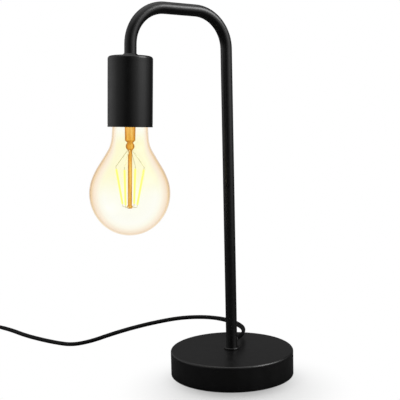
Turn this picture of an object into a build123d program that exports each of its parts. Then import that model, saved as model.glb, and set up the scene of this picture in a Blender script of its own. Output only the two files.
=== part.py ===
from build123d import *
import math
import os

# Table lamp: a round weighted base, a bent tube arm with its lampholder hanging head down, a bare pear-shaped
# filament bulb, and a flat two-core lead with a rocker switch in it and a two-pin plug.
# Millimetres. +Z is up, the origin is the centre of the base's underside, and the arm reaches towards -X.

# Base: a pressed steel cover over a cast weight, on a soft pad
BASE_D = 120.0
BASE_H = 24.5
BASE_WALL = 1.2
BASE_EDGE_R = 1.8
PAD_T = 1.6
PAD_PROUD = 0.8
PAD_EDGE = 2.4
WEIGHT_POCKET_D = 92.0
WEIGHT_POCKET_H = 11.0
WEIGHT_CHAMFER = 1.6
SIDE_GAP = 0.4

# Arm: one tube, bent twice, threaded at both ends
TUBE_OD = 10.9
TUBE_WALL = 1.0
SHAFT_H = 290.0
BEND_R = 34.0
FOOT_BEND_ANGLE = 88.5
HEAD_BEND_ANGLE = 89.25
BAR_L = 32.5
DROP_L = 8.8
FOOT_END_Z = 4.6
THREAD_GAP = 0.05
HOLE_GAP = 0.25

# Fasteners of the foot
COLLAR_OD = 15.2
COLLAR_H = 1.8
COLLAR_EDGE_R = 0.8
WASHER_OD = 24.0
WASHER_T = 1.5
NUT_AF = 15.0
NUT_H = 5.0

# Lead where it leaves the shaft
CORD_D = 5.2
CORD_EXIT_Z = 32.0
CORD_EXIT_TURN = 27.0
CORD_ELBOW_R = 3.2
CORD_EXIT_RUN = 16.1
BUSH_WALL = 0.5
BUSH_FLANGE_OD = 7.6
BUSH_FLANGE_T = 0.9
CORE_D = 1.8

# Lampholder, measured down the head's own axis from the top of the sleeve
SLEEVE_OD = 40.0
SLEEVE_L = 62.0
SLEEVE_WALL = 1.2
SLEEVE_TOP_T = 1.6
SLEEVE_SHOULDER_R = 2.5
SLEEVE_GROOVE_W = 0.5
SLEEVE_GROOVE_DEPTH = 0.2
SLEEVE_GROOVE_TOP = 5.2
SLEEVE_GROOVE_LOW = 1.9
NECK_RING_H = 2.2
NECK_RING_OD = 15.6
NECK_RING_TOP_OD = 12.0
NECK_RING_LIP = 0.4
LOCK_WASHER_OD = 19.0
LOCK_WASHER_T = 0.8
LOCK_TEETH = 12
LOCK_SLOT = (2.4, 1.2)
TUBE_IN_HEAD = 10.0
SHEATH_IN_HEAD = 12.0
HOLDER_OD = 34.4
HOLDER_WALL = 1.8
HOLDER_CAP_H = 18.0
HOLDER_CAP_SLOPE = 6.0
HOLDER_CAP_TOP_D = 22.0
HOLDER_CAP_TOP_T = 7.0
HOLDER_FLOOR_T = 4.7
HOLDER_END = 54.0
HOLDER_BORE_GAP = 0.28
SPIGOT_H = 3.2
SPIGOT_GAP = 0.2
GRUB_D = 3.0
GRUB_L = 5.0
GRUB_DROP = 3.8
GRUB_SLOT = (0.8, 0.6)
TERMINAL_X = 8.0
TERMINAL = (5.0, 6.0, 4.5)
SCREW_D = 3.0
SCREW_HEAD_D = 4.6
SCREW_HEAD_H = 1.5
SCREW_SLOT = (0.6, 0.7)
SCREW_FLOOR = 1.0
SCREW_END_GAP = 0.4
LEAF_T = 0.5
LEAF_W = 5.0
LEAF_REACH = 3.2
SIDE_STRAP_X = 11.5
CORE_APART = 1.2
CORE_RISE = 4.0
CORE_BEND_R = 1.6

# Lamp cap and its thread, drawn as rings a pitch apart
THREAD_R = 12.6
THREAD_DEPTH = 0.84
THREAD_PITCH = 3.63
THREAD_START = 31.5
CAP_RINGS = 4
HOLDER_RINGS = 4
CAP_WALL = 0.3
SHELL_WALL = 0.35
SHELL_GAP = 0.3
SHELL_FLANGE_R = 10.2
SKIRT_R = 13.3
SKIRT_RISE = 2.4
CAP_NECK_IN = 0.6
CAP_NECK_H = 1.1
TIP_START = 27.5
TIP_T = 0.9
TIP_R = 4.7
TIP_EDGE_R = 0.6
TIP_GAP = 0.3
INSULATOR_TOP_R = 4.8
INSULATOR_STEP = (0.6, 0.5)
INSULATOR_SEAT = 0.8
BOARD_GAP = 0.35
BOARD_START = 2.5
BOARD_L = 14.0
BOARD_T = 1.0
BOARD_WIRE_X = 3.0

# Bulb
BULB_R = 36.0
BULB_WIDEST = 121.0
BULB_END = 158.5
GLASS_T = 0.8
GLASS_START = 51.4
GLASS_LIP = 0.5
GLASS_MOUTH = (12.9, 54.0)
GLASS_THROAT = (15.8, 62.5)
GLASS_NECK_END = (16.3, 71.0)
GLASS_FLANK = (27.9, 96.4)
GLASS_LEAN_ANGLES = (34.0, 3.4, 3.4, 32.0, 0.0, -90.0)
STEM_R = 4.8
STEM_END = 75.8
STEM_FLARE_R = 11.5
STEM_FLARE_T = 0.9
STEM_FLARE_H = 10.0
STEM_SHOULDER_H = 2.0
STEM_SHOULDER_R = 2.6
ROD_ROOT_H = 1.0
STEM_BEAD_R = 3.9
ROD_R = 1.85
ROD_END = 134.5
KNOB_R = 2.35
KNOB_H = 2.4
KNOB_EDGE_R = 0.8
FILAMENT_D = 1.8
FILAMENT_TOP = (13.1, 99.6)
FILAMENT_LOW = (7.6, 130.8)
FILAMENT_TURN = 56.6
FILAMENT_TWIST = -9.0
FILAMENTS = 4
WIRE_D = 0.7
HOOK_L = 2.4
HOOK_R = 1.2
FOOT_HOOK_R = 0.9

# Switch in the lead
SWITCH_L = 62.0
SWITCH_W = 19.6
SWITCH_WAIST = 17.2
SWITCH_H = 17.0
SWITCH_SPLIT = 8.0
SWITCH_WALL = 1.6
SWITCH_CORNER_R = 6.0
SWITCH_EDGE_R = 2.8
SWITCH_FOOT_R = 1.4
BEZEL = (25.6, 12.6)
BEZEL_PROUD = 1.0
BEZEL_WALL = 1.8
ROCKER_L = 19.8
ROCKER_TOP_L = 18.2
ROCKER_GAP = 0.35
ROCKER_END_RISE = 6.3
ROCKER_DIP = 1.5
ROCKER_UNDER = 2.2
ROCKER_PIVOT_Z = 12.6
ROCKER_TILT = 9.0
TRUNNION_R = 1.1
TRUNNION_GAP = 0.1
EAR_T = 1.6
RIBS = 4
RIB_W = 0.7
RIB_STEP = 1.5
RIB_DEPTH = 0.45
SEESAW_L = 15.0
SEESAW_W = 3.6
SEESAW_T = 0.6
SEESAW_Z = 6.4
SEESAW_TILT = 3.5
CONTACT_GAP = 0.3
CONTACT_X = 6.2
STRAP_T = 0.8
STRAP_W = 2.4
LIVE_Y = -4.7
NEUTRAL_Y = 4.9
BLOCK_X = 18.5
BLOCK = (5.0, 3.6, 5.4)
CASE_SCREW_X = 13.3
CASE_SCREW_R = 1.0
CASE_SCREW_LOW = 0.6
CASE_SCREW_SEAT = 2.2
CASE_SCREW_TIP = 12.5
CASE_SCREW_HEAD_R = 2.2
CASE_SCREW_SLOT = (1.3, 0.25, 0.6)
CASE_SCREW_GAP = 0.05
CASE_HOLE_LOW = 4.0
CASE_HOLE_TOP = 14.0
CLAMP_X = 27.0
CLAMP_POST_Y = 4.8

# Plug: two round pins with sleeves, moulded on
PIN_D = 4.0
PIN_L = 19.0
PIN_SPACING = 19.0
PIN_SLEEVE_L = 10.0
PIN_SLEEVE_D = 3.6
PIN_CORE_D = 3.0
PIN_ROOT = 6.0
PLUG_W = 35.4
PLUG_T = 13.8
PLUG_L = 36.0
PLUG_NECK = (11.6, 10.4)
RELIEF_L = 18.0
RELIEF_END_D = 7.4
RELIEF_GROOVES = 4
RELIEF_GROOVE_STEP = 3.6
RELIEF_GROOVE_W = 1.3
PIN_TIP_CHAMFER = 0.8
PLUG_CORE_START = 20.6
BRIDGE = (27.0, 7.0, 5.0)

# Where things lie on the table, chosen from the picture
SWITCH_AT = (-221.0, 327.5)
COIL_AT = (-244.4, 232.0)
PLUG_END_Y = 176.0
PLUG_ASIDE = 3.0
PLUG_AXIS_Z = 7.0
LEAD_POINTS = [
    (36.2, 31.0, 31.8), (41.0, 53.0, 31.9), (39.0, 76.0, 32.0), (28.0, 96.5, 31.7), (7.5, 112.5, 30.5),
    (-15.5, 124.0, 27.0), (-39.5, 133.0, 22.7), (-64.0, 140.5, 17.4), (-85.0, 148.5, 11.4),
    (-100.0, 167.0, 6.0), (-108.0, 194.0, 3.2), (-118.0, 220.0, 2.8), (-126.5, 247.0, 2.7),
    (-131.5, 275.0, 2.7), (-139.5, 301.0, 2.8), (-148.5, 313.5, 3.8), (-160.5, 322.5, 6.0),
    (-174.5, 327.5, 8.0), (-190.0, 327.5, 8.0),
]
RUN_POINTS = [
    (-252.0, 327.5, 8.0), (-267.5, 327.5, 8.0), (-282.0, 320.5, 6.0), (-290.5, 306.5, 4.4),
    (-291.5, 290.0, 3.8), (-287.0, 272.0, 3.8), (-281.0, 254.5, 3.8),
]

# Coil of the spare lead: two layers of half turns, and the tie round it
COIL_INNER_R = 20.5
COIL_PITCH = 5.7
COIL_LOW_Z = 3.8
COIL_HALF_TURNS = 6
GAP_SAMPLES = 24
TIE_GAP = 0.3
TIE_T = 0.8
TIE_W = 4.0
TIE_HEAD = (5.0, 6.0, 3.4)

tube_r = TUBE_OD / 2
bore_r = tube_r - TUBE_WALL
cord_r = CORD_D / 2
base_r = BASE_D / 2
sleeve_r = SLEEVE_OD / 2
holder_r = HOLDER_OD / 2
exit_dir = Vector(math.cos(math.radians(CORD_EXIT_TURN)), math.sin(math.radians(CORD_EXIT_TURN)), 0)
exit_r = tube_r + BUSH_FLANGE_T
exit_point = exit_dir * exit_r + Vector(0, 0, CORD_EXIT_Z)
exit_corner = exit_point + exit_dir * CORD_EXIT_RUN


def turned(*outline):
    """A solid of revolution about Z from its (radius, height) corners."""
    return revolve(Plane.XZ * make_face(Polyline(*outline, close=True)), Axis.Z)


def ring_edges(solid, radius, height):
    """The round edges of one radius at one height."""
    circles = solid.edges().filter_by(GeomType.CIRCLE)
    return [e for e in circles if abs(e.radius - radius) < 0.01 and abs(e.arc_center.Z - height) < 0.01]


def rod(start, end, radius):
    """A straight round bar between two points."""
    start, end = Vector(start), Vector(end)
    return Plane(origin=start, z_dir=end - start) * extrude(Circle(radius), (end - start).length)


def box(low, high):
    """A block between two opposite corners."""
    low, high = Vector(low), Vector(high)
    size = high - low
    return Pos(*((low + high) * 0.5)) * Box(abs(size.X), abs(size.Y), abs(size.Z))


def together(*solids):
    """Separate solids that share one node."""
    return Compound([s for part in solids for s in part.solids()])


def biarc(start, leave, end, arrive):
    """Two tangent arcs from start to end, leaving and arriving in the directions given."""
    start, leave, end, arrive = Vector(start), Vector(leave), Vector(end), Vector(arrive)
    gap, turn = end - start, leave + arrive
    spread = 2 * (1 - leave.dot(arrive))
    along = gap.dot(turn)
    handle = (math.sqrt(along * along + spread * gap.dot(gap)) - along) / spread
    first, last = start + leave * handle, end - arrive * handle
    middle = (first + last) * 0.5
    return [
        Edge.make_tangent_arc(start, leave, middle),
        Edge.make_tangent_arc(middle, (last - first).normalized(), end),
    ]


# Arm

def arm_corners(start_z, into_head):
    """The corners of the arm's centreline, from the foot to a depth inside the head."""
    foot_turn, head_turn = math.radians(FOOT_BEND_ANGLE), math.radians(HEAD_BEND_ANGLE)
    foot_tangent, head_tangent = BEND_R * math.tan(foot_turn / 2), BEND_R * math.tan(head_turn / 2)
    along = Vector(-math.sin(foot_turn), 0, math.cos(foot_turn))
    down = Vector(-math.sin(foot_turn + head_turn), 0, math.cos(foot_turn + head_turn))
    first = Vector(0, 0, BASE_H + SHAFT_H + foot_tangent)
    second = first + along * (foot_tangent + BAR_L + head_tangent)
    top = second + down * (head_tangent + DROP_L + NECK_RING_H)
    return [Vector(0, 0, start_z), first, second, top + down * into_head], Plane(
        origin=top, x_dir=Vector(0, 1, 0).cross(down), z_dir=down
    )


corners, HEAD = arm_corners(FOOT_END_Z, TUBE_IN_HEAD)
CORD_HOLE = Plane(origin=(0, 0, CORD_EXIT_Z), z_dir=exit_dir)


def arm_tube():
    path = FilletPolyline(*corners, radius=BEND_R)
    ring = Plane(origin=corners[0], z_dir=(0, 0, 1)) * (Circle(tube_r) - Circle(bore_r))
    hole = CORD_HOLE * extrude(Circle(cord_r + BUSH_WALL + THREAD_GAP), TUBE_OD)
    return sweep(ring, path=path) - hole


def collar_ring():
    ring = turned(
        (tube_r + THREAD_GAP, BASE_H), (COLLAR_OD / 2, BASE_H), (COLLAR_OD / 2, BASE_H + COLLAR_H),
        (tube_r + THREAD_GAP, BASE_H + COLLAR_H),
    )
    return fillet(
        ring_edges(ring, COLLAR_OD / 2, BASE_H) + ring_edges(ring, COLLAR_OD / 2, BASE_H + COLLAR_H),
        COLLAR_EDGE_R,
    )


# Base

weight_low = PAD_T
weight_high = BASE_H - BASE_WALL
pocket_top = weight_low + WEIGHT_POCKET_H


def base_shell():
    outer = Pos(0, 0, PAD_PROUD) * extrude(Circle(base_r), BASE_H - PAD_PROUD)
    outer = fillet(ring_edges(outer, base_r, BASE_H), BASE_EDGE_R)
    inner = Pos(0, 0, PAD_PROUD) * extrude(Circle(base_r - BASE_WALL), weight_high - PAD_PROUD)
    inner = fillet(ring_edges(inner, base_r - BASE_WALL, weight_high), BASE_EDGE_R - BASE_WALL / 2)
    hole = extrude(Circle(tube_r + HOLE_GAP), BASE_H)
    return outer - inner - hole


def base_weight():
    r = base_r - BASE_WALL - SIDE_GAP
    return turned(
        (tube_r + HOLE_GAP, pocket_top), (WEIGHT_POCKET_D / 2, pocket_top), (WEIGHT_POCKET_D / 2, weight_low),
        (r, weight_low), (r, weight_high - WEIGHT_CHAMFER), (r - WEIGHT_CHAMFER, weight_high),
        (tube_r + HOLE_GAP, weight_high),
    )


def base_pad():
    return extrude(Circle(base_r - PAD_EDGE), PAD_T)


def foot_washer():
    ring = Circle(WASHER_OD / 2) - Circle(tube_r + HOLE_GAP)
    return Pos(0, 0, pocket_top - WASHER_T) * extrude(ring, WASHER_T)


def foot_nut():
    outline = RegularPolygon(NUT_AF / 2, 6, major_radius=False) - Circle(tube_r + THREAD_GAP)
    return Pos(0, 0, pocket_top - WASHER_T - NUT_H) * extrude(outline, NUT_H)


# Lead inside the lamp

def cord_bush():
    """A rubber bush in the shaft's hole: a body through the wall and a flange that sits on the tube."""
    body = CORD_HOLE * extrude(Circle(cord_r + BUSH_WALL), exit_r)
    flange = CORD_HOLE * extrude(Circle(BUSH_FLANGE_OD / 2), exit_r)
    flange -= extrude(Circle(tube_r + THREAD_GAP), 2 * CORD_EXIT_Z)
    inside = extrude(Circle(bore_r - THREAD_GAP), 2 * CORD_EXIT_Z)
    bore = CORD_HOLE * extrude(Circle(cord_r + THREAD_GAP), exit_r)
    front = Plane(origin=exit_dir * tube_r * 0.5, z_dir=exit_dir)
    keep = front * Pos(0, 0, TUBE_OD / 2) * Box(4 * TUBE_OD, 4 * CORD_EXIT_Z, TUBE_OD)
    return (body + flange - inside - bore) & keep


def inner_cord():
    path_corners, _ = arm_corners(CORD_EXIT_Z, SHEATH_IN_HEAD)
    path = FilletPolyline(exit_point, *path_corners, radius=[CORD_ELBOW_R, BEND_R, BEND_R])
    return sweep(Plane(origin=exit_point, z_dir=exit_dir * -1) * Circle(cord_r), path=path)


# Lampholder, in the head's own frame

washer_top = SLEEVE_TOP_T
cap_top = washer_top + LOCK_WASHER_T
cap_end = cap_top + HOLDER_CAP_H
cavity_top = cap_top + HOLDER_CAP_TOP_T
floor_end = cap_end + HOLDER_FLOOR_T
holder_bore = THREAD_R + THREAD_DEPTH / 2 + SHELL_GAP + SHELL_WALL + HOLDER_BORE_GAP
shell_end = THREAD_START - THREAD_PITCH + (HOLDER_RINGS + 1) * THREAD_PITCH


def neck_ring():
    r = tube_r + THREAD_GAP
    return turned(
        (r, 0), (NECK_RING_OD / 2, 0), (NECK_RING_OD / 2, -NECK_RING_LIP),
        (NECK_RING_TOP_OD / 2, -NECK_RING_H), (r, -NECK_RING_H),
    )


def socket_sleeve():
    r = sleeve_r
    cup = turned(
        (tube_r + HOLE_GAP, 0), (r, 0), (r, SLEEVE_L), (r - SLEEVE_WALL, SLEEVE_L),
        (r - SLEEVE_WALL, SLEEVE_TOP_T), (tube_r + HOLE_GAP, SLEEVE_TOP_T),
    )
    cup = fillet(ring_edges(cup, r, 0), SLEEVE_SHOULDER_R)
    half, deep = SLEEVE_GROOVE_W / 2, SLEEVE_GROOVE_DEPTH
    for w in (SLEEVE_GROOVE_TOP, SLEEVE_L - SLEEVE_GROOVE_LOW):
        cup -= turned((r - deep, w - half), (r + deep, w - half), (r + deep, w + half), (r - deep, w + half))
    return fillet(ring_edges(cup, r - SLEEVE_WALL, SLEEVE_TOP_T), SLEEVE_SHOULDER_R - SLEEVE_WALL)


def lock_washer():
    """A washer whose rim is cut into teeth."""
    ring = Circle(LOCK_WASHER_OD / 2) - Circle(tube_r + HOLE_GAP)
    slots = PolarLocations(LOCK_WASHER_OD / 2, LOCK_TEETH) * Rectangle(*LOCK_SLOT)
    return Pos(0, 0, washer_top) * extrude(ring - slots, LOCK_WASHER_T)


def holder_cap():
    r = tube_r + THREAD_GAP
    dome = turned(
        (r, cap_top), (HOLDER_CAP_TOP_D / 2, cap_top), (holder_r, cap_top + HOLDER_CAP_SLOPE),
        (holder_r, cap_end), (holder_r - HOLDER_WALL, cap_end), (holder_r - HOLDER_WALL, cavity_top),
        (r, cavity_top),
    )
    bore = extrude(Circle(GRUB_D / 2 + THREAD_GAP), holder_r)
    hole = Pos(0, 0, cap_top + GRUB_DROP) * Rot(-90, 0, 0) * bore
    return dome - hole


def cap_grub_screw():
    start = tube_r + THREAD_GAP
    middle = cap_top + GRUB_DROP
    screw = Pos(0, start, middle) * Rot(-90, 0, 0) * extrude(Circle(GRUB_D / 2), GRUB_L)
    deep, half = GRUB_SLOT[0], GRUB_SLOT[1] / 2
    slot = box((-GRUB_D, start + GRUB_L - deep, middle - half), (GRUB_D, start + GRUB_L, middle + half))
    return screw - slot


def holder_body():
    inner = holder_r - HOLDER_WALL - SPIGOT_GAP
    barrel = turned(
        (0, cap_end), (inner - HOLDER_WALL, cap_end), (inner - HOLDER_WALL, cap_end - SPIGOT_H),
        (inner, cap_end - SPIGOT_H), (inner, cap_end), (holder_r, cap_end), (holder_r, HOLDER_END),
        (holder_bore, HOLDER_END), (holder_bore, floor_end), (0, floor_end),
    )
    slot_w = LEAF_W + 2 * THREAD_GAP
    for side, x in ((1, TERMINAL_X), (-1, SIDE_STRAP_X)):
        low = (side * x - LEAF_T / 2 - THREAD_GAP, -slot_w / 2, cap_end - 0.1)
        high = (side * x + LEAF_T / 2 + THREAD_GAP, slot_w / 2, floor_end + 0.1)
        barrel -= box(low, high)
    return barrel


def terminal(side):
    """A brass terminal block on the holder's floor, with a screw hole and a hole for its wire."""
    w, d, h = TERMINAL
    block = box((side * TERMINAL_X - w / 2, -d / 2, cap_end - h), (side * TERMINAL_X + w / 2, d / 2, cap_end))
    x = side * TERMINAL_X
    screw = rod((x, 0, cap_end - h), (x, 0, cap_end - SCREW_FLOOR), SCREW_D / 2)
    return block - screw


def centre_contact():
    """The spring leaf that the lamp's tip presses on, with its terminal."""
    face = TIP_START - TIP_GAP
    leaf = box(
        (TERMINAL_X - LEAF_T / 2, -LEAF_W / 2, cap_end), (TERMINAL_X + LEAF_T / 2, LEAF_W / 2, face - LEAF_T)
    )
    arm = box((-LEAF_REACH, -LEAF_W / 2, face - LEAF_T), (TERMINAL_X + LEAF_T / 2, LEAF_W / 2, face))
    return terminal(1) + leaf + arm


def side_contact():
    """The strap from the second terminal to the screw shell's flange."""
    x = -SIDE_STRAP_X
    strap = box((x - LEAF_T / 2, -LEAF_W / 2, cap_end), (x + LEAF_T / 2, LEAF_W / 2, floor_end))
    foot = box((x - LEAF_T / 2, -LEAF_W / 2, cap_end - LEAF_T), (-TERMINAL_X, LEAF_W / 2, cap_end))
    return terminal(-1) + strap + foot


def terminal_screws():
    screws = []
    for side in (1, -1):
        x = side * TERMINAL_X
        under = cap_end - TERMINAL[2]
        top, end = under - SCREW_HEAD_H, cap_end - SCREW_FLOOR - SCREW_END_GAP
        head = rod((x, 0, top), (x, 0, under), SCREW_HEAD_D / 2)
        shank = rod((x, 0, under), (x, 0, end), SCREW_D / 2 - THREAD_GAP)
        deep, half = SCREW_SLOT[0], SCREW_SLOT[1] / 2
        slot = box((x - SCREW_HEAD_D, -half, top), (x + SCREW_HEAD_D, half, top + deep))
        screws.append(head + shank - slot)
    return together(*screws)


def holder_cores():
    """The lead's two cores, from the end of its sheath to the terminals."""
    cores = []
    for side in (1, -1):
        start = Vector(side * CORE_APART, 0, SHEATH_IN_HEAD)
        end = Vector(side * (TERMINAL_X - TERMINAL[0] / 2), 0, SHEATH_IN_HEAD + CORE_RISE)
        path = FilletPolyline(start, (start.X, 0, end.Z), end, radius=CORE_BEND_R)
        cores.append(sweep(Plane(origin=start, z_dir=(0, 0, 1)) * Circle(CORE_D / 2), path=path))
    return together(*cores)


def ring_wave(radius, start, rings):
    """The ringed outline of a lamp thread: arcs in and out, half a pitch each."""
    arcs = []
    for k in range(2 * rings):
        low = start + k * THREAD_PITCH / 2
        swing = THREAD_DEPTH / 2 * (1 if k % 2 == 0 else -1)
        arcs.append(ThreePointArc(
            (radius, low), (radius + swing, low + THREAD_PITCH / 4), (radius, low + THREAD_PITCH / 2)
        ))
    return arcs


def ringed_wall(radius, wall, start, rings, before, after):
    """A thin turned wall with thread rings; before and after are (radius, height) points of its outside."""
    outer = ring_wave(radius, start, rings)
    inner = ring_wave(radius - wall, start, rings)
    end = start + rings * THREAD_PITCH
    edges = outer + inner
    for r, points, stop in ((radius, before, start), (radius, after, end)):
        outside = [(r, stop)] + points
        within = [(a - wall, b) for a, b in outside]
        edges += [Line(p, q) for p, q in zip(outside, outside[1:])]
        edges += [Line(p, q) for p, q in zip(within, within[1:])]
        edges.append(Line(outside[-1], within[-1]))
    return revolve(Plane.XZ * make_face(edges), Axis.Z)


def screw_shell():
    """The holder's threaded brass shell, with the flange that fixes it to the floor."""
    radius = THREAD_R + SHELL_GAP + SHELL_WALL
    start = THREAD_START - THREAD_PITCH
    shell = ringed_wall(radius, SHELL_WALL, start, HOLDER_RINGS + 1, [(radius, floor_end)], [])
    flange = turned(
        (SHELL_FLANGE_R, floor_end), (radius, floor_end), (radius, floor_end + SHELL_WALL),
        (SHELL_FLANGE_R, floor_end + SHELL_WALL),
    )
    return shell + flange


# Bulb, in the head's own frame

def bulb_cap():
    end = THREAD_START + CAP_RINGS * THREAD_PITCH
    return ringed_wall(
        THREAD_R, CAP_WALL, THREAD_START, CAP_RINGS, [(THREAD_R - CAP_NECK_IN, THREAD_START - CAP_NECK_H)],
        [(SKIRT_R, end + SKIRT_RISE), (SKIRT_R, HOLDER_END)],
    )


def cap_insulator():
    top = TIP_START + TIP_T
    foot = THREAD_START - CAP_NECK_H
    r = THREAD_R - CAP_NECK_IN - CAP_WALL
    step_out, step_down = INSULATOR_STEP
    return turned(
        (0, top), (INSULATOR_TOP_R, top), (INSULATOR_TOP_R + step_out, top + step_down), (r, foot),
        (r, foot + INSULATOR_SEAT), (0, foot + INSULATOR_SEAT),
    )


def cap_tip():
    disc = Pos(0, 0, TIP_START) * extrude(Circle(TIP_R), TIP_T)
    return fillet(ring_edges(disc, TIP_R, TIP_START), TIP_EDGE_R)


def driver_board():
    """The small board inside the lamp's cap that feeds the filaments."""
    low = THREAD_START + BOARD_START
    high = low + BOARD_L
    half, face = THREAD_R - THREAD_DEPTH / 2 - CAP_WALL - BOARD_GAP, BOARD_T / 2
    board = box((-half, -face, low), (half, face, high))
    for x in (-BOARD_WIRE_X, BOARD_WIRE_X):
        board += rod((x, 0, high - 1), (x, 0, GLASS_START + 0.1), WIRE_D / 2)
    block = box((-6.5, face, low + 2), (-1.5, face + 3.0, low + 8))
    can = Pos(3.6, face + 2.4, low + 2) * extrude(Circle(2.6), 8)
    chip = box((-2.5, -face - 1.5, low + 4), (2.5, -face, low + 8))
    return board + block + can + chip


def glass_profile(inset):
    """The glass's outline at a depth inside its outer face: a neck, a pear-shaped flank and a rounded end."""
    places = [GLASS_MOUTH, GLASS_THROAT, GLASS_NECK_END, GLASS_FLANK, (BULB_R, BULB_WIDEST), (0, BULB_END)]
    stations = []
    for (radius, height), lean in zip(places, GLASS_LEAN_ANGLES):
        a = math.radians(lean)
        place = Vector(radius - inset * math.cos(a), height + inset * math.sin(a))
        stations.append((place, Vector(math.sin(a), math.cos(a))))
    start = Vector(stations[0][0].X - GLASS_LIP, GLASS_START)
    edges = [Line(start, stations[0][0])]
    for (p, leave), (q, arrive) in zip(stations, stations[1:]):
        edges += [Line(p, q)] if leave == arrive else biarc(p, leave, q, arrive)
    end = stations[-1][0]
    edges += [Line(end, (0, GLASS_START)), Line((0, GLASS_START), start)]
    return revolve(Plane.XZ * make_face(edges), Axis.Z)


def bulb_glass():
    return glass_profile(0.0) - glass_profile(GLASS_T)


def glass_stem():
    """The mount: a flare closed on the neck, a tube, its pressed bead, and the rod between the filaments."""
    start = GLASS_START + 0.2
    body = turned(
        (0, start), (STEM_FLARE_R, start), (STEM_FLARE_R, start + STEM_FLARE_T),
        ((STEM_FLARE_R + STEM_R) / 2, start + 2.6), (STEM_R + 0.6, start + 6),
        (STEM_R, start + STEM_FLARE_H), (STEM_R - 0.2, STEM_END - STEM_SHOULDER_H),
        (STEM_SHOULDER_R, STEM_END), (ROD_R, STEM_END + ROD_ROOT_H), (0, STEM_END + ROD_ROOT_H),
    )
    bead = Pos(0, 0, STEM_END + STEM_BEAD_R - 0.7) * Sphere(STEM_BEAD_R)
    rod_low = Pos(0, 0, STEM_END) * extrude(Circle(ROD_R), ROD_END - KNOB_H / 2 - STEM_END)
    knob = Pos(0, 0, ROD_END - KNOB_H) * extrude(Circle(KNOB_R), KNOB_H)
    knob = fillet(ring_edges(knob, KNOB_R, ROD_END), KNOB_EDGE_R)
    return body + bead + rod_low + knob


def round_the_rod(make):
    """One solid for each filament, turned evenly about the bulb's axis."""
    step = 360 / FILAMENTS
    return together(*[Rot(0, 0, FILAMENT_TURN + k * step) * make() for k in range(FILAMENTS)])


def filament_ends():
    """The top and the foot of one filament. The top is turned a little about the bulb's axis, by the twist."""
    (r0, w0), (r1, w1) = FILAMENT_TOP, FILAMENT_LOW
    twist = math.radians(FILAMENT_TWIST)
    return Vector(r0 * math.cos(twist), r0 * math.sin(twist), w0), Vector(r1, 0, w1)


def filament():
    top, foot = filament_ends()
    return rod(top, foot, FILAMENT_D / 2)


def filament_wires():
    """The hooks that carry one filament: from the bead to its top, and from the rod's end to its foot."""
    ends = filament_ends()
    bead = Vector(0, 0, STEM_END + STEM_BEAD_R - 0.7)
    start = bead + (ends[0] - bead).normalized() * (STEM_BEAD_R + 0.1)
    along = (ends[1] - ends[0]).normalized()
    corner = ends[0] - along * HOOK_L
    upper = FilletPolyline(start, corner, ends[0] - along * 0.05, radius=HOOK_R)
    top = sweep(Plane(origin=start, z_dir=corner - start) * Circle(WIRE_D / 2), path=upper)
    knob = Vector(KNOB_R + 0.05, 0, ROD_END - KNOB_H / 2)
    bend = ends[1] + along * ((knob.Z - ends[1].Z) / along.Z)
    hook = FilletPolyline(knob, bend, ends[1] + along * 0.05, radius=FOOT_HOOK_R)
    foot = sweep(Plane(origin=knob, z_dir=bend - knob) * Circle(WIRE_D / 2), path=hook)
    return together(top, foot)


# Switch, in its own frame: X along the lead, Z up from the table

def case_outline(inset):
    """The case seen from above: square ends with round corners, and sides drawn in at the waist."""
    x, y, waist = SWITCH_L / 2 - inset, SWITCH_W / 2 - inset, SWITCH_WAIST / 2 - inset
    edges = [
        ThreePointArc((-x, y), (0, waist), (x, y)), Line((x, y), (x, -y)),
        ThreePointArc((x, -y), (0, -waist), (-x, -y)), Line((-x, -y), (-x, y)),
    ]
    face = make_face(edges)
    return fillet(face.vertices(), SWITCH_CORNER_R - inset)


def cord_holes():
    """The way in for the lead at each end, through the wall and over the saddle."""
    outer, inner, z, r = SWITCH_L / 2 + 1, CLAMP_X - 2.6, SWITCH_SPLIT, cord_r + THREAD_GAP
    return [rod((s * outer, 0, z), (s * inner, 0, z), r) for s in (-1, 1)]


def case_screw_holes(radius, low, high):
    return [rod((s * CASE_SCREW_X, 0, low), (s * CASE_SCREW_X, 0, high), radius) for s in (-1, 1)]


def clamp_posts(radius, low, high):
    spots = [(s * CLAMP_X, t * CLAMP_POST_Y) for s in (-1, 1) for t in (-1, 1)]
    return [rod((x, y, low), (x, y, high), radius) for x, y in spots]


def switch_base():
    """The lower shell, with its floor, screw bosses, saddles and clamp posts."""
    shell = extrude(case_outline(0), SWITCH_SPLIT)
    shell = fillet(shell.edges().group_by(Axis.Z)[0], SWITCH_FOOT_R)
    shell -= Pos(0, 0, SWITCH_WALL) * extrude(case_outline(SWITCH_WALL), SWITCH_SPLIT)
    floor = SWITCH_WALL - 0.2
    for boss in case_screw_holes(3.0, floor, 5.0) + clamp_posts(1.9, floor, SWITCH_SPLIT + cord_r):
        shell += boss
    for side in (-1, 1):
        shell += box((side * CLAMP_X - 1.5, -3.0, floor), (side * CLAMP_X + 1.5, 3.0, SWITCH_SPLIT - 1.6))
    holes = case_screw_holes(1.35, -1, 6) + case_screw_holes(CASE_SCREW_HEAD_R + 0.2, -1, CASE_SCREW_SEAT)
    for hole in holes + clamp_posts(0.75, 5.0, SWITCH_H) + cord_holes():
        shell -= hole
    return shell


def rocker_opening(gap):
    return Rectangle(ROCKER_L + 2 * gap, BEZEL[1] - 2 * BEZEL_WALL)


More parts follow.
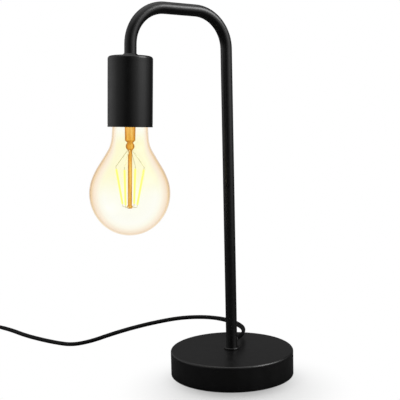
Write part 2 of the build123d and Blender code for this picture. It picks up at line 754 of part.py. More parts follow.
def switch_top():
    """The upper shell, with the raised rim round the rocker and the ears that it turns in."""
    inside_top = SWITCH_H - SWITCH_WALL
    shell = Pos(0, 0, SWITCH_SPLIT) * extrude(case_outline(0), SWITCH_H - SWITCH_SPLIT)
    shell = fillet(shell.edges().group_by(Axis.Z)[-1], SWITCH_EDGE_R)
    shell -= Pos(0, 0, SWITCH_SPLIT) * extrude(case_outline(SWITCH_WALL), inside_top - SWITCH_SPLIT)
    rim_h = SWITCH_WALL + 0.4 + BEZEL_PROUD
    rim = Pos(0, 0, inside_top - 0.4) * extrude(RectangleRounded(*BEZEL, 3.0), rim_h)
    rim = fillet(rim.edges().group_by(Axis.Z)[-1], 0.7)
    shell += rim
    opening = Pos(0, 0, SWITCH_SPLIT) * extrude(rocker_opening(ROCKER_GAP), SWITCH_H)
    for boss in case_screw_holes(2.3, 5.0, inside_top + 0.2):
        shell += boss
    shell -= opening
    ear_y = BEZEL[1] / 2 - BEZEL_WALL
    ear_low, ear_high = ROCKER_PIVOT_Z - 2.6, inside_top + 0.2
    for side in (-1, 1):
        shell += box((-2.8, side * ear_y, ear_low), (2.8, side * (ear_y + EAR_T), ear_high))
    for hole in case_screw_holes(CASE_SCREW_R + CASE_SCREW_GAP, CASE_HOLE_LOW, CASE_HOLE_TOP):
        shell -= hole
    pivot = rod((0, -SWITCH_W, ROCKER_PIVOT_Z), (0, SWITCH_W, ROCKER_PIVOT_Z), TRUNNION_R + TRUNNION_GAP)
    for hole in cord_holes():
        shell -= hole
    return shell - (pivot & box((-3, -ear_y - EAR_T, 0), (3, ear_y + EAR_T, SWITCH_H)))


def tilted(solid, angle, height):
    """Turned about a crosswise pivot at that height."""
    return Pos(0, 0, height) * Rot(0, angle, 0) * Pos(0, 0, -height) * solid


rocker_w = BEZEL[1] - 2 * BEZEL_WALL - 2 * ROCKER_GAP
tip_reach = 4.7
tip_r = 0.85


def rocker():
    """The ribbed rocker on its two trunnions, with the sleeve for its plunger."""
    z = ROCKER_PIVOT_Z
    high, dip, low = z + ROCKER_END_RISE, z + ROCKER_END_RISE - ROCKER_DIP, z - ROCKER_UNDER
    a, b = ROCKER_TOP_L / 2, ROCKER_L / 2 - 0.1
    outline = Polyline(
        (-b, low + 1.6), (-b, z), (-a, high), (0, dip), (a, high), (b, z), (b, low + 1.6), (6, low),
        (-6, low), close=True,
    )
    body = extrude(Plane.XZ * make_face(outline), rocker_w / 2, both=True)
    slope = math.degrees(math.atan2(ROCKER_DIP, a))
    for side in (-1, 1):
        for k in range(RIBS):
            x = side * (a - 1.4 - k * RIB_STEP)
            height = dip + ROCKER_DIP * abs(x) / a
            groove = Pos(x, 0, height) * Rot(0, -side * slope, 0) * Box(RIB_W, 2 * rocker_w, 2 * RIB_DEPTH)
            body -= groove
    ear_y = BEZEL[1] / 2 - BEZEL_WALL
    body += rod((0, -ear_y - EAR_T + 0.1, z), (0, ear_y + EAR_T - 0.1, z), TRUNNION_R)
    body += rod((0, 0, low + 0.5), (0, 0, z - 3.3), 1.9)
    body -= rod((0, 0, z + 2.0), (0, 0, z - 4), 1.1)
    return tilted(body, -ROCKER_TILT, z)


def plunger():
    """The brass pin that the spring holds against the see-saw contact."""
    z = ROCKER_PIVOT_Z
    pin = rod((0, 0, z - 1.8), (0, 0, z - tip_reach), tip_r + 0.1) + Pos(0, 0, z - tip_reach) * Sphere(tip_r)
    return tilted(pin, -ROCKER_TILT, z)


def rocker_spring():
    """The plunger's coil spring, in half turns."""
    z = ROCKER_PIVOT_Z
    radius, wire, rise, half_turns = 0.72, 0.15, 0.36, 9
    edges = []
    for k in range(half_turns):
        side = 1 if k % 2 == 0 else -1
        low = z - 1.6 + k * rise
        edges += biarc((side * radius, 0, low), (0, side, 0), (-side * radius, 0, low + rise), (0, -side, 0))
    path = Wire(edges)
    spring = sweep(Plane(origin=(radius, 0, z - 1.6), z_dir=(0, 1, 0)) * Circle(wire), path=path)
    return tilted(spring, -ROCKER_TILT, z)


def contact_arm():
    """The see-saw contact, with its silvered rivet over the fixed contact."""
    strip = Pos(0, 0, SEESAW_Z) * Box(SEESAW_L, SEESAW_W, SEESAW_T)
    rivet = rod((CONTACT_X, 0, SEESAW_Z + SEESAW_T / 2), (CONTACT_X, 0, SEESAW_Z + SEESAW_T / 2 + 0.5), 1.2)
    return tilted(strip + rivet, SEESAW_TILT, SEESAW_Z)


def terminal_block(x, y):
    w, d, h = BLOCK
    block = box((x - w / 2, y - d / 2, SWITCH_WALL), (x + w / 2, y + d / 2, SWITCH_WALL + h))
    return block - rod((x, y, SWITCH_WALL + 1.2), (x, y, SWITCH_WALL + h + 1), 1.1)


def strap(x0, x1, y0, y1):
    return box((x0, y0, SWITCH_WALL), (x1, y1, SWITCH_WALL + STRAP_T))


def pivot_terminal():
    """The terminal that the see-saw rocks on."""
    under = SEESAW_Z - SEESAW_T / 2 - CONTACT_GAP
    along = strap(-BLOCK_X, STRAP_W / 2, LIVE_Y - STRAP_W / 2, LIVE_Y + STRAP_W / 2)
    across = strap(-STRAP_W / 2, STRAP_W / 2, LIVE_Y, SEESAW_W / 2)
    edge = box((-0.4, -SEESAW_W / 2, SWITCH_WALL), (0.4, SEESAW_W / 2, under))
    return terminal_block(-BLOCK_X, LIVE_Y) + along + across + edge


def fixed_terminal():
    """The terminal that the see-saw closes on."""
    drop = CONTACT_X * math.sin(math.radians(SEESAW_TILT))
    under = SEESAW_Z - SEESAW_T / 2 - drop - CONTACT_GAP
    along = strap(CONTACT_X - STRAP_W / 2, BLOCK_X, LIVE_Y - STRAP_W / 2, LIVE_Y + STRAP_W / 2)
    across = strap(CONTACT_X - STRAP_W / 2, CONTACT_X + STRAP_W / 2, LIVE_Y, SEESAW_W / 2)
    pad = rod((CONTACT_X, 0, SWITCH_WALL), (CONTACT_X, 0, under), 1.2)
    return terminal_block(BLOCK_X, LIVE_Y) + along + across + pad


def neutral_bar():
    """The conductor that runs straight through."""
    along = strap(-BLOCK_X, BLOCK_X, NEUTRAL_Y - STRAP_W / 2, NEUTRAL_Y + STRAP_W / 2)
    return terminal_block(-BLOCK_X, NEUTRAL_Y) + terminal_block(BLOCK_X, NEUTRAL_Y) + along


def slotted_screw(x, y, top, length, shank_r, head_r, head_h):
    """A screw with its head up and its slot across."""
    head = rod((x, y, top - head_h), (x, y, top), head_r)
    shank = rod((x, y, top - head_h), (x, y, top - head_h - length), shank_r)
    slot = box((x - 0.3, y - head_r, top - 0.5), (x + 0.3, y + head_r, top))
    return head + shank - slot


def switch_terminal_screws():
    top = SWITCH_WALL + BLOCK[2] + 1.2
    spots = [(sx * BLOCK_X, y) for sx in (-1, 1) for y in (LIVE_Y, NEUTRAL_Y)]
    return together(*[slotted_screw(x, y, top, 3.6, 1.05, 1.7, 1.2) for x, y in spots])


def switch_case_screws():
    """The two screws that hold the shells together, put in from below."""
    screws = []
    for side in (-1, 1):
        x = side * CASE_SCREW_X
        head = rod((x, 0, CASE_SCREW_LOW), (x, 0, CASE_SCREW_SEAT), CASE_SCREW_HEAD_R)
        shank = rod((x, 0, CASE_SCREW_SEAT), (x, 0, CASE_SCREW_TIP), CASE_SCREW_R)
        reach, half, deep = CASE_SCREW_SLOT
        floor = CASE_SCREW_LOW + deep
        cross = box((x - reach, -half, CASE_SCREW_LOW), (x + reach, half, floor))
        cross += box((x - half, -reach, CASE_SCREW_LOW), (x + half, reach, floor))
        screws.append(head + shank - cross)
    return together(*screws)


clamp_low = SWITCH_SPLIT + cord_r


def flex_clamps():
    """The bars that grip the lead at each end of the switch."""
    bars = []
    for side in (-1, 1):
        x = side * CLAMP_X
        bar = box((x - 1.5, -6.1, clamp_low), (x + 1.5, 6.1, clamp_low + 1.4))
        for t in (-1, 1):
            bar -= rod((x, t * CLAMP_POST_Y, clamp_low - 1), (x, t * CLAMP_POST_Y, clamp_low + 2), 0.9)
        bars.append(bar)
    return together(*bars)


def clamp_screws():
    top = clamp_low + 1.4 + 0.9
    spots = [(s * CLAMP_X, t * CLAMP_POST_Y) for s in (-1, 1) for t in (-1, 1)]
    return together(*[slotted_screw(x, y, top, 5.0, 0.7, 1.3, 0.9) for x, y in spots])


def switch_leads():
    """The ends of the lead inside the switch: sheath to the clamp, then a core to each terminal."""
    parts = []
    stub_end = CLAMP_X - 2.6
    for side in (-1, 1):
        parts.append(rod((side * SWITCH_L / 2, 0, SWITCH_SPLIT), (side * stub_end, 0, SWITCH_SPLIT), cord_r))
        for y, across in ((LIVE_Y, -1.1), (NEUTRAL_Y, 1.1)):
            start = (side * stub_end, across, SWITCH_SPLIT)
            end = (side * (BLOCK_X + BLOCK[0] / 2 + 0.8), y * 0.8, SWITCH_WALL + 3.4)
            parts.append(rod(start, end, CORE_D / 2 - 0.1))
    return together(*parts)


SWITCH = Pos(SWITCH_AT[0], SWITCH_AT[1], 0) * Rot(0, 0, 180)


# Plug, in its own frame: Z along the pins, from the face that meets the socket

PLUG = Plane(
    origin=(0, PLUG_END_Y - RELIEF_L - PLUG_L, PLUG_AXIS_Z), x_dir=(1, 0, 0), z_dir=(0, -1, 0)
)


def plug_body():
    """The moulded body: a wide flat face, drawn in to the lead, with a grooved tapering relief."""
    stations = [
        (0, PLUG_W, PLUG_T, 5.5), (-9, PLUG_W, PLUG_T, 5.5), (-22, 0.78 * PLUG_W, PLUG_T, 5.5),
        (-PLUG_L, PLUG_NECK[0], PLUG_NECK[1], 4.4),
    ]
    body = loft([Pos(0, 0, z) * RectangleRounded(w, t, r) for z, w, t, r in stations], ruled=True)
    body = fillet(body.edges().group_by(Axis.Z)[-1], 1.0)
    end = -PLUG_L - RELIEF_L
    r0, r1 = PLUG_NECK[1] / 2 - 0.4, RELIEF_END_D / 2
    relief = turned((0, -PLUG_L + 0.5), (r0, -PLUG_L + 0.5), (r0, -PLUG_L), (r1, end), (0, end))
    for k in range(RELIEF_GROOVES):
        z = -PLUG_L - RELIEF_GROOVE_W - (k + 0.6) * RELIEF_GROOVE_STEP
        relief -= Pos(0, 0, z) * extrude(Circle(r0 + 1) - Circle(cord_r + 0.7), RELIEF_GROOVE_W)
    body += relief
    w, t, h = BRIDGE
    body -= box((-w / 2, -t / 2, -PIN_ROOT), (w / 2, t / 2, -PIN_ROOT + h))
    side, half = PIN_SPACING / 2 + 1.2, CORE_D * 2 / 3
    body -= box((-side, -half, -PLUG_CORE_START), (side, half, -PIN_ROOT))
    body -= rod((0, 0, end - 1), (0, 0, -PLUG_CORE_START), cord_r + THREAD_GAP)
    for side in (-1, 1):
        x = side * PIN_SPACING / 2
        body -= rod((x, 0, -PIN_ROOT), (x, 0, 1), PIN_CORE_D / 2 + THREAD_GAP)
    return body


def pin_bridge():
    """The carrier that holds the two pins inside the moulding."""
    w, t, h = BRIDGE
    carrier = box((-w / 2, -t / 2, -PIN_ROOT), (w / 2, t / 2, -PIN_ROOT + h))
    for side in (-1, 1):
        x = side * PIN_SPACING / 2
        carrier -= rod((x, 0, -PIN_ROOT - 1), (x, 0, 0), PIN_CORE_D / 2 + THREAD_GAP)
    return carrier


def plug_pins():
    pins = []
    for side in (-1, 1):
        x = side * PIN_SPACING / 2
        thick = turned(
            (0, PIN_SLEEVE_L), (PIN_D / 2, PIN_SLEEVE_L), (PIN_D / 2, PIN_L - PIN_TIP_CHAMFER),
            (PIN_D / 2 - PIN_TIP_CHAMFER, PIN_L), (0, PIN_L),
        )
        thin = rod((0, 0, -PIN_ROOT), (0, 0, PIN_SLEEVE_L), PIN_CORE_D / 2)
        pins.append(Pos(x, 0, 0) * (thick + thin))
    return together(*pins)


def pin_sleeves():
    ring = Circle(PIN_SLEEVE_D / 2) - Circle(PIN_CORE_D / 2 + THREAD_GAP)
    return together(*[Pos(s * PIN_SPACING / 2, 0, 0) * extrude(ring, PIN_SLEEVE_L) for s in (-1, 1)])


def plug_leads():
    """The lead's end inside the moulding, and its cores up to the pins."""
    parts = [rod((0, 0, -PLUG_L - RELIEF_L), (0, 0, -PLUG_CORE_START - THREAD_GAP), cord_r)]
    start, root = THREAD_GAP - PLUG_CORE_START, -PIN_ROOT - 0.4
    for side in (-1, 1):
        near, far = side * CORE_D * 2 / 3, side * PIN_SPACING / 2
        parts.append(rod((near, 0, start), (far, 0, root), CORE_D / 2 - 0.1))
    return together(*parts)


# Free lead

def corner_radius(before, corner, after):
    """The largest tidy arc at a corner: 0.45 of the shorter run over the tangent of half the turn."""
    turn = (corner - before).get_angle(after - corner)
    shorter = min((corner - before).length, (after - corner).length)
    return 0.45 * shorter / math.tan(math.radians(turn / 2))


def cord_tube(name, points):
    """A round tube along straight runs and tangent arcs, with its arcs and its volume printed."""
    points = [Vector(p) for p in points]
    radii = [corner_radius(a, b, c) for a, b, c in zip(points, points[1:], points[2:])]
    path = FilletPolyline(*points, radius=radii)
    tube = sweep(Plane(origin=points[0], z_dir=points[1] - points[0]) * Circle(cord_r), path=path)
    length = sum(e.length for e in path.edges())
    share = tube.volume / (math.pi * cord_r ** 2 * length)
    print(name, "length", round(length, 1), "volume share", round(share, 4))
    print("  arc radii", [round(r) for r in radii])
    return tube, length


def coil_path():
    """Half turns in to the middle, a climb of one layer in the last, and half turns out again."""
    edges = []
    x, y = coil_x, COIL_AT[1]
    high = COIL_LOW_Z + COIL_PITCH
    edges.append(Edge.make_line((x, y + CORD_D, COIL_LOW_Z), (x, y, COIL_LOW_Z)))
    steps = [(k, COIL_LOW_Z) for k in range(COIL_HALF_TURNS, 0, -1)] + [(0, None)]
    steps += [(k, high) for k in range(1, COIL_HALF_TURNS)]
    side = 1
    for k, z in steps:
        radius = COIL_INNER_R + k * COIL_PITCH / 2
        end = x + side * 2 * radius
        if z is None:
            edges += biarc((x, y, COIL_LOW_Z), (0, -side, 0), (end, y, high), (0, side, 0))
        else:
            middle = (x + side * radius, y - side * radius, z)
            edges.append(Edge.make_three_point_arc((x, y, z), middle, (end, y, z)))
        x, side = end, -side
    edges.append(Edge.make_line((x, y, high), (x, y - CORD_D, high)))
    return edges, Vector(x, y - CORD_D, high)


def least_gap(edges):
    """The least gap between turns of the coil's tube, from points along its path."""
    points, along, travelled = [], [], 0.0
    for edge in edges:
        for share in [k / GAP_SAMPLES for k in range(GAP_SAMPLES)]:
            points.append(edge.position_at(share))
            along.append(travelled + edge.length * share)
        travelled += edge.length
    apart = math.pi * COIL_INNER_R * 0.9
    return min(
        (points[i] - points[j]).length
        for i in range(0, len(points), 2)
        for j in range(i + 1, len(points), 2)
        if along[j] - along[i] > apart
    ) - CORD_D


def cord_coil():
    edges, end = coil_path()
    start = edges[0].position_at(0)
    tube = sweep(Plane(origin=start, z_dir=(0, -1, 0)) * Circle(cord_r), path=Wire(edges))
    length = sum(e.length for e in edges)
    share = tube.volume / (math.pi * cord_r ** 2 * length)
    print("cord_coil length", round(length, 1), "volume share", round(share, 4))
    print("  least gap", round(least_gap(edges), 2))
    return tube, length, end


def cord_tie():
    """The strap round the coil, with its head, on the side away from the lead's ends."""
    lean = (COIL_PITCH + TIE_W) / 2
    radial_in = math.sqrt((COIL_INNER_R + COIL_PITCH / 2) ** 2 - lean ** 2) - cord_r
    radial_out = COIL_INNER_R + (COIL_HALF_TURNS - 1) * COIL_PITCH / 2 + cord_r
    half_w = (radial_out - radial_in) / 2 + TIE_GAP
    half_h = (COIL_PITCH + CORD_D) / 2 + TIE_GAP
    inner = RectangleRounded(2 * half_w, 2 * half_h, cord_r)
    outer = RectangleRounded(2 * (half_w + TIE_T), 2 * (half_h + TIE_T), cord_r + TIE_T)
    band = extrude(outer - inner, TIE_W / 2, both=True)
    head = Pos(0, half_h + TIE_HEAD[2] / 2, 0) * Box(TIE_HEAD[0], TIE_HEAD[2], TIE_HEAD[1])
    head -= Pos(0, half_h + TIE_T + 1.0, 0) * Box(2 * TIE_HEAD[0], 0.5, TIE_W)
    place = Plane(
        origin=(COIL_AT[0], COIL_AT[1] + (radial_in + radial_out) / 2, COIL_LOW_Z + COIL_PITCH / 2),
        x_dir=(0, 1, 0), z_dir=(1, 0, 0),
    )
    return place * (band + head)


os.makedirs("parts", exist_ok=True)

coil_x = COIL_AT[0] - COIL_INNER_R - COIL_HALF_TURNS * COIL_PITCH / 2
lead, lead_length = cord_tube("cord_lead", [exit_point, exit_corner] + LEAD_POINTS)
coil, coil_length, coil_end = cord_coil()
coil_start = Vector(coil_x, COIL_AT[1] + CORD_D, COIL_LOW_Z)
run, run_length = cord_tube("cord_run", RUN_POINTS + [coil_start])
plug_x = coil_end.X + PLUG_ASIDE
tail_step = (coil_end.Y - PLUG_END_Y) / 3
tail_points = [
    coil_end, coil_end - Vector(0, tail_step, 0),
    (plug_x, PLUG_END_Y + tail_step, PLUG_AXIS_Z), (plug_x, PLUG_END_Y, PLUG_AXIS_Z),
]
tail, tail_length = cord_tube("cord_tail", tail_points)
PLUG_PLACE = Pos(plug_x, 0, 0) * PLUG.location
total = lead_length + SWITCH_L + run_length + coil_length + tail_length
print("lead from shaft to plug", round(total, 1))

NODES = {
    "base_shell": base_shell(),
    "base_weight": base_weight(),
    "base_pad": base_pad(),
    "collar_ring": collar_ring(),
    "foot_washer": foot_washer(),
    "foot_nut": foot_nut(),
    "arm_tube": arm_tube(),
    "cord_bush": cord_bush(),
    "inner_cord": inner_cord(),
    "neck_ring": HEAD * neck_ring(),
    "socket_sleeve": HEAD * socket_sleeve(),
    "lock_washer": HEAD * lock_washer(),
    "holder_cap": HEAD * holder_cap(),
    "cap_grub_screw": HEAD * cap_grub_screw(),
    "holder_body": HEAD * holder_body(),
    "screw_shell": HEAD * screw_shell(),
    "centre_contact": HEAD * centre_contact(),
    "side_contact": HEAD * side_contact(),
    "terminal_screws": HEAD.location * terminal_screws(),
    "holder_cores": HEAD.location * holder_cores(),
    "bulb_cap": HEAD * bulb_cap(),
    "cap_insulator": HEAD * cap_insulator(),
    "cap_tip": HEAD * cap_tip(),
    "driver_board": HEAD * driver_board(),
    "bulb_glass": HEAD * bulb_glass(),
    "glass_stem": HEAD * glass_stem(),
    "filaments": HEAD.location * round_the_rod(filament),
    "filament_wires": HEAD.location * round_the_rod(filament_wires),
    "switch_base": SWITCH * switch_base(),
    "switch_top": SWITCH * switch_top(),
    "rocker": SWITCH * rocker(),
    "plunger": SWITCH * plunger(),
    "rocker_spring": SWITCH * rocker_spring(),
    "contact_arm": SWITCH * contact_arm(),
    "pivot_terminal": SWITCH * pivot_terminal(),
    "fixed_terminal": SWITCH * fixed_terminal(),
    "neutral_bar": SWITCH * neutral_bar(),
    "switch_terminal_screws": SWITCH * switch_terminal_screws(),
    "switch_case_screws": SWITCH * switch_case_screws(),
    "flex_clamps": SWITCH * flex_clamps(),
    "clamp_screws": SWITCH * clamp_screws(),
    "switch_leads": SWITCH * switch_leads(),
    "plug_body": PLUG_PLACE * plug_body(),
    "pin_bridge": PLUG_PLACE * pin_bridge(),
    "plug_pins": PLUG_PLACE * plug_pins(),
    "pin_sleeves": PLUG_PLACE * pin_sleeves(),
    "plug_leads": PLUG_PLACE * plug_leads(),
    "cord_lead": lead,
    "cord_run": run,
    "cord_coil": coil,
    "cord_tail": tail,
    "cord_tie": cord_tie(),
}
for name, shape in NODES.items():
    export_step(shape, f"parts/{name}.step")
print("head top", tuple(round(v, 2) for v in HEAD.origin), "down", tuple(round(v, 4) for v in HEAD.z_dir))
print(len(NODES), "nodes; plug x", round(plug_x, 2))
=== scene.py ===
# %% [markdown]
# # A table lamp with a bent tube arm
# The lamp has a heavy round foot, one tube bent twice, a sleeve that hides the lampholder, and a bare
# filament bulb. A flat two-core lead leaves the shaft just above the foot, runs to a small rocker switch
# and ends in a plug. The measured solids are loaded first. They say where everything is, so each piece made
# here lands on its seat.

# %% Load the measured solids
import math

import bpy
import numpy as np
from mathutils import Matrix, Vector


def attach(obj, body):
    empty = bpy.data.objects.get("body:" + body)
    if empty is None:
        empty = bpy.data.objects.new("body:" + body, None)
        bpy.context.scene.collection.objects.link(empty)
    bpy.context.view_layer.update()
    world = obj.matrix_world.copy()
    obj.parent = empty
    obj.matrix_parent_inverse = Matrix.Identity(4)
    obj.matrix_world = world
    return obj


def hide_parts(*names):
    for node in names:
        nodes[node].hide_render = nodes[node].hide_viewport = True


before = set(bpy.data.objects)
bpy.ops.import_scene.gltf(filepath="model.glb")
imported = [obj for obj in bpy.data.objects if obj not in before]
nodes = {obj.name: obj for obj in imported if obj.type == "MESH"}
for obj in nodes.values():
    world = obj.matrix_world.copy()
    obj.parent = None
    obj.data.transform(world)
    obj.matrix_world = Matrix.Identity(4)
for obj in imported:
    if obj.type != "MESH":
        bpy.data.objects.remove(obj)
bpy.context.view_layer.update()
MM = 0.001

# %% [markdown]
# ## The camera
# A photograph fixes where the camera stood: its distance, its height, its tilt and its focal length. Worked
# out from the ellipse of the foot and the lines of the shaft, they give three directions: where the camera
# looks, what is to its right and what is above it. Those three are the columns of the camera's matrix.

# %% Place the camera
AZIMUTH, YAW, PITCH, ROLL = (math.radians(v) for v in (-33.33, 2.10, 6.09, -1.30))
DISTANCE, EYE_HEIGHT = 0.76181, 0.25284
FRAME_SIDE, FOCAL_PIXELS, SENSOR = 400, 794.87, 36.0
CLIP_NEAR, CLIP_FAR = 0.02, 30.0


def camera_directions():
    """Right, up and forward of the camera: forward from azimuth and pitch, the others turned by the roll."""
    turn = AZIMUTH + YAW
    forward = Vector((-math.sin(turn) * math.cos(PITCH), math.cos(turn) * math.cos(PITCH), -math.sin(PITCH)))
    level = forward.cross(Vector((0, 0, 1))).normalized()
    above = level.cross(forward)
    right = level * math.cos(ROLL) + above * math.sin(ROLL)
    up = above * math.cos(ROLL) - level * math.sin(ROLL)
    return right, up, forward


right, up, forward = camera_directions()
place = Matrix((right, up, -forward)).transposed().to_4x4()
place.translation = Vector((DISTANCE * math.sin(AZIMUTH), -DISTANCE * math.cos(AZIMUTH), EYE_HEIGHT))
view = bpy.data.cameras.new("camera")
view.sensor_width = SENSOR
view.lens = FOCAL_PIXELS / FRAME_SIDE * SENSOR
view.clip_start, view.clip_end = CLIP_NEAR, CLIP_FAR
camera = bpy.data.objects.new("camera", view)
camera.matrix_world = place
scene = bpy.context.scene
scene.collection.objects.link(camera)
scene.camera = camera
print("camera at", [round(v, 3) for v in place.translation], "lens", round(view.lens, 2))

# %% [markdown]
# ## Materials from nodes
# Every finish starts as one Principled shader, and its sockets hold what is the same all over. A solid
# takes its finish through the material slot of its mesh, so a better finish never touches its shape.

# %% One finish for some of the solids
def new_material(name, colour, roughness, metallic=0.0, **sockets):
    """A Principled material: colour, roughness and metallic, and any other socket by its name."""
    made = bpy.data.materials.new(name)
    made.use_nodes = True
    shader = made.node_tree.nodes["Principled BSDF"]
    shader.inputs["Base Color"].default_value = (*colour, 1)
    shader.inputs["Roughness"].default_value = roughness
    shader.inputs["Metallic"].default_value = metallic
    for socket, value in sockets.items():
        shader.inputs[socket.replace("_", " ")].default_value = value
    return made


def dress(material, *names):
    """The solids of those names take the material."""
    for name in names:
        nodes[name].data.materials.clear()
        nodes[name].data.materials.append(material)
    print(material.name, "on", ", ".join(names))


# %% [markdown]
# Many finishes need a number worked out from another one, or one that eases from one level to another. A
# Math node and a Map Range node do that, and two short functions keep such chains readable.

# %% Numbers between nodes
def math_node(tree, operation, first, second):
    """A Math node; each operand is an output or a number."""
    node = tree.nodes.new("ShaderNodeMath")
    node.operation = operation
    for slot, value in enumerate((first, second)):
        if isinstance(value, (int, float)):
            node.inputs[slot].default_value = value
        else:
            tree.links.new(value, node.inputs[slot])
    return node.outputs["Value"]


def eased(tree, value, low, high, start, end, easing="SMOOTHSTEP"):
    """A number that goes from start to end as the value goes from low to high, at an even pace if LINEAR."""
    node = tree.nodes.new("ShaderNodeMapRange")
    node.interpolation_type = easing
    for socket, number in (("From Min", low), ("From Max", high), ("To Min", start), ("To Max", end)):
        node.inputs[socket].default_value = number
    tree.links.new(value, node.inputs["Value"])
    return node.outputs["Result"]


# %% [markdown]
# No real surface is quite even. A noise pattern on Object coordinates adds what varies: the grain of a
# powder coat, the faint ripple of a moulding, the haze of handled metal. Object coordinates don't slide,
# because every finished piece keeps its place in its mesh.

# %% Patterns and grain
PATTERN_LOW, PATTERN_HIGH = 0.3, 0.7
BUMP_STRENGTH = 0.6


def noise(tree, scale, detail=3.0, stretch=(1, 1, 1)):
    """A noise pattern on Object coordinates, scale in cells for each metre, stretched along the axes."""
    where = tree.nodes.new("ShaderNodeTexCoord")
    turn = tree.nodes.new("ShaderNodeMapping")
    pattern = tree.nodes.new("ShaderNodeTexNoise")
    turn.inputs["Scale"].default_value = stretch
    pattern.inputs["Scale"].default_value = scale
    pattern.inputs["Detail"].default_value = detail
    tree.links.new(where.outputs["Object"], turn.inputs["Vector"])
    tree.links.new(turn.outputs["Vector"], pattern.inputs["Vector"])
    return pattern.outputs["Fac"]


def vary(material, socket, low, high, scale, stretch=(1, 1, 1)):
    """The socket runs from low to high with a noise pattern; colours are given as three numbers."""
    tree = material.node_tree
    pattern = noise(tree, scale, stretch=stretch)
    target = tree.nodes["Principled BSDF"].inputs[socket]
    if isinstance(low, (int, float)):
        tree.links.new(eased(tree, pattern, PATTERN_LOW, PATTERN_HIGH, low, high, "LINEAR"), target)
        return
    ramp = tree.nodes.new("ShaderNodeValToRGB")
    for stop, place, colour in zip(ramp.color_ramp.elements, (PATTERN_LOW, PATTERN_HIGH), (low, high)):
        stop.position, stop.color = place, (*colour, 1)
    tree.links.new(pattern, ramp.inputs["Fac"])
    tree.links.new(ramp.outputs["Color"], target)


def grain(material, scale, depth, detail=2.0):
    """A bump of that depth in metres from a noise pattern."""
    tree = material.node_tree
    bump = tree.nodes.new("ShaderNodeBump")
    bump.inputs["Distance"].default_value = depth
    bump.inputs["Strength"].default_value = BUMP_STRENGTH
    tree.links.new(noise(tree, scale, detail), bump.inputs["Height"])
    tree.links.new(bump.outputs["Normal"], tree.nodes["Principled BSDF"].inputs["Normal"])


# %% [markdown]
# ## Black powder coat
# The foot, the tube and the sleeve share one satin black powder coat. It is a very dark grey rather than
# black, because a painted surface always returns a little light, and its skin has a fine pebble that
# softens highlights.

# %% Powder coat on the lamp's metal
powder_coat = new_material("powder_coat", (0.0026, 0.0025, 0.0027), 0.32, Specular_IOR_Level=0.5)
vary(powder_coat, "Roughness", 0.29, 0.36, 90.0)
vary(powder_coat, "Base Color", (0.0022, 0.0021, 0.0023), (0.0030, 0.0029, 0.0031), 900.0)
grain(powder_coat, 2600.0, 0.00002)
dress(powder_coat, "base_shell", "arm_tube", "collar_ring", "neck_ring", "socket_sleeve")

# %% [markdown]
# ## The hidden fittings
# Inside the foot and the sleeve are plated washers and a nut, a moulded lampholder and its brass contacts.
# They are seldom seen, but they show when the lamp is turned over or taken apart, so each has its own plain
# finish.

# %% Finishes of the fittings
cast_iron = new_material("cast_iron", (0.09, 0.088, 0.085), 0.7, 0.6)
grain(cast_iron, 700.0, 0.0002, 4.0)
foam = new_material("foam", (0.02, 0.02, 0.021), 0.95)
grain(foam, 1800.0, 0.0002)
zinc = new_material("zinc_plate", (0.55, 0.55, 0.53), 0.32, 1.0)
vary(zinc, "Roughness", 0.25, 0.42, 300.0)
moulding = new_material("black_moulding", (0.016, 0.016, 0.017), 0.48)
grain(moulding, 1500.0, 0.00002)
brass = new_material("brass", (0.75, 0.52, 0.22), 0.28, 1.0)
vary(brass, "Roughness", 0.22, 0.40, 400.0)
rubber = new_material("bush_rubber", (0.014, 0.014, 0.014), 0.62)
grain(rubber, 1200.0, 0.00003)
CORE_BLUE = (0.03, 0.05, 0.22)
core_blue = new_material("core_insulation", CORE_BLUE, 0.45)
vary(core_blue, "Roughness", 0.4, 0.5, 500.0)
carrier = new_material("pin_carrier", (0.62, 0.61, 0.56), 0.5)
vary(carrier, "Roughness", 0.45, 0.6, 300.0)
dress(cast_iron, "base_weight")
dress(foam, "base_pad")
dress(zinc, "foot_washer", "foot_nut", "lock_washer", "cap_grub_screw", "terminal_screws",
      "switch_terminal_screws", "switch_case_screws", "clamp_screws", "rocker_spring", "flex_clamps")
dress(moulding, "holder_cap", "holder_body", "pin_sleeves", "cord_tie")
dress(brass, "screw_shell", "centre_contact", "side_contact", "plunger", "contact_arm", "pivot_terminal",
      "fixed_terminal", "neutral_bar")
dress(rubber, "cord_bush")
dress(core_blue, "holder_cores")
dress(carrier, "pin_bridge")

# %% [markdown]
# ## The bulb
# A filament bulb of the warm kind has a clear amber envelope. The amber is a thin stain, so it hardly tints
# what is seen through the middle and deepens towards the outline, where the eye looks along the wall. Layer
# Weight says how far the wall turns away, from 0 face on to 1 edge on, and the stops of a colour ramp make
# a tint of that. Round the lit filaments the wall glows a little yellower: a second tint, by height.

# %% The stain in the glass
FACE_ON, EDGE_ON = 0.25, 0.5
STREAK_CELLS, STREAK_STRETCH = 650.0, (1, 1, 0.06)
STREAK_THIN, STREAK_FULL = 0.42, 0.62


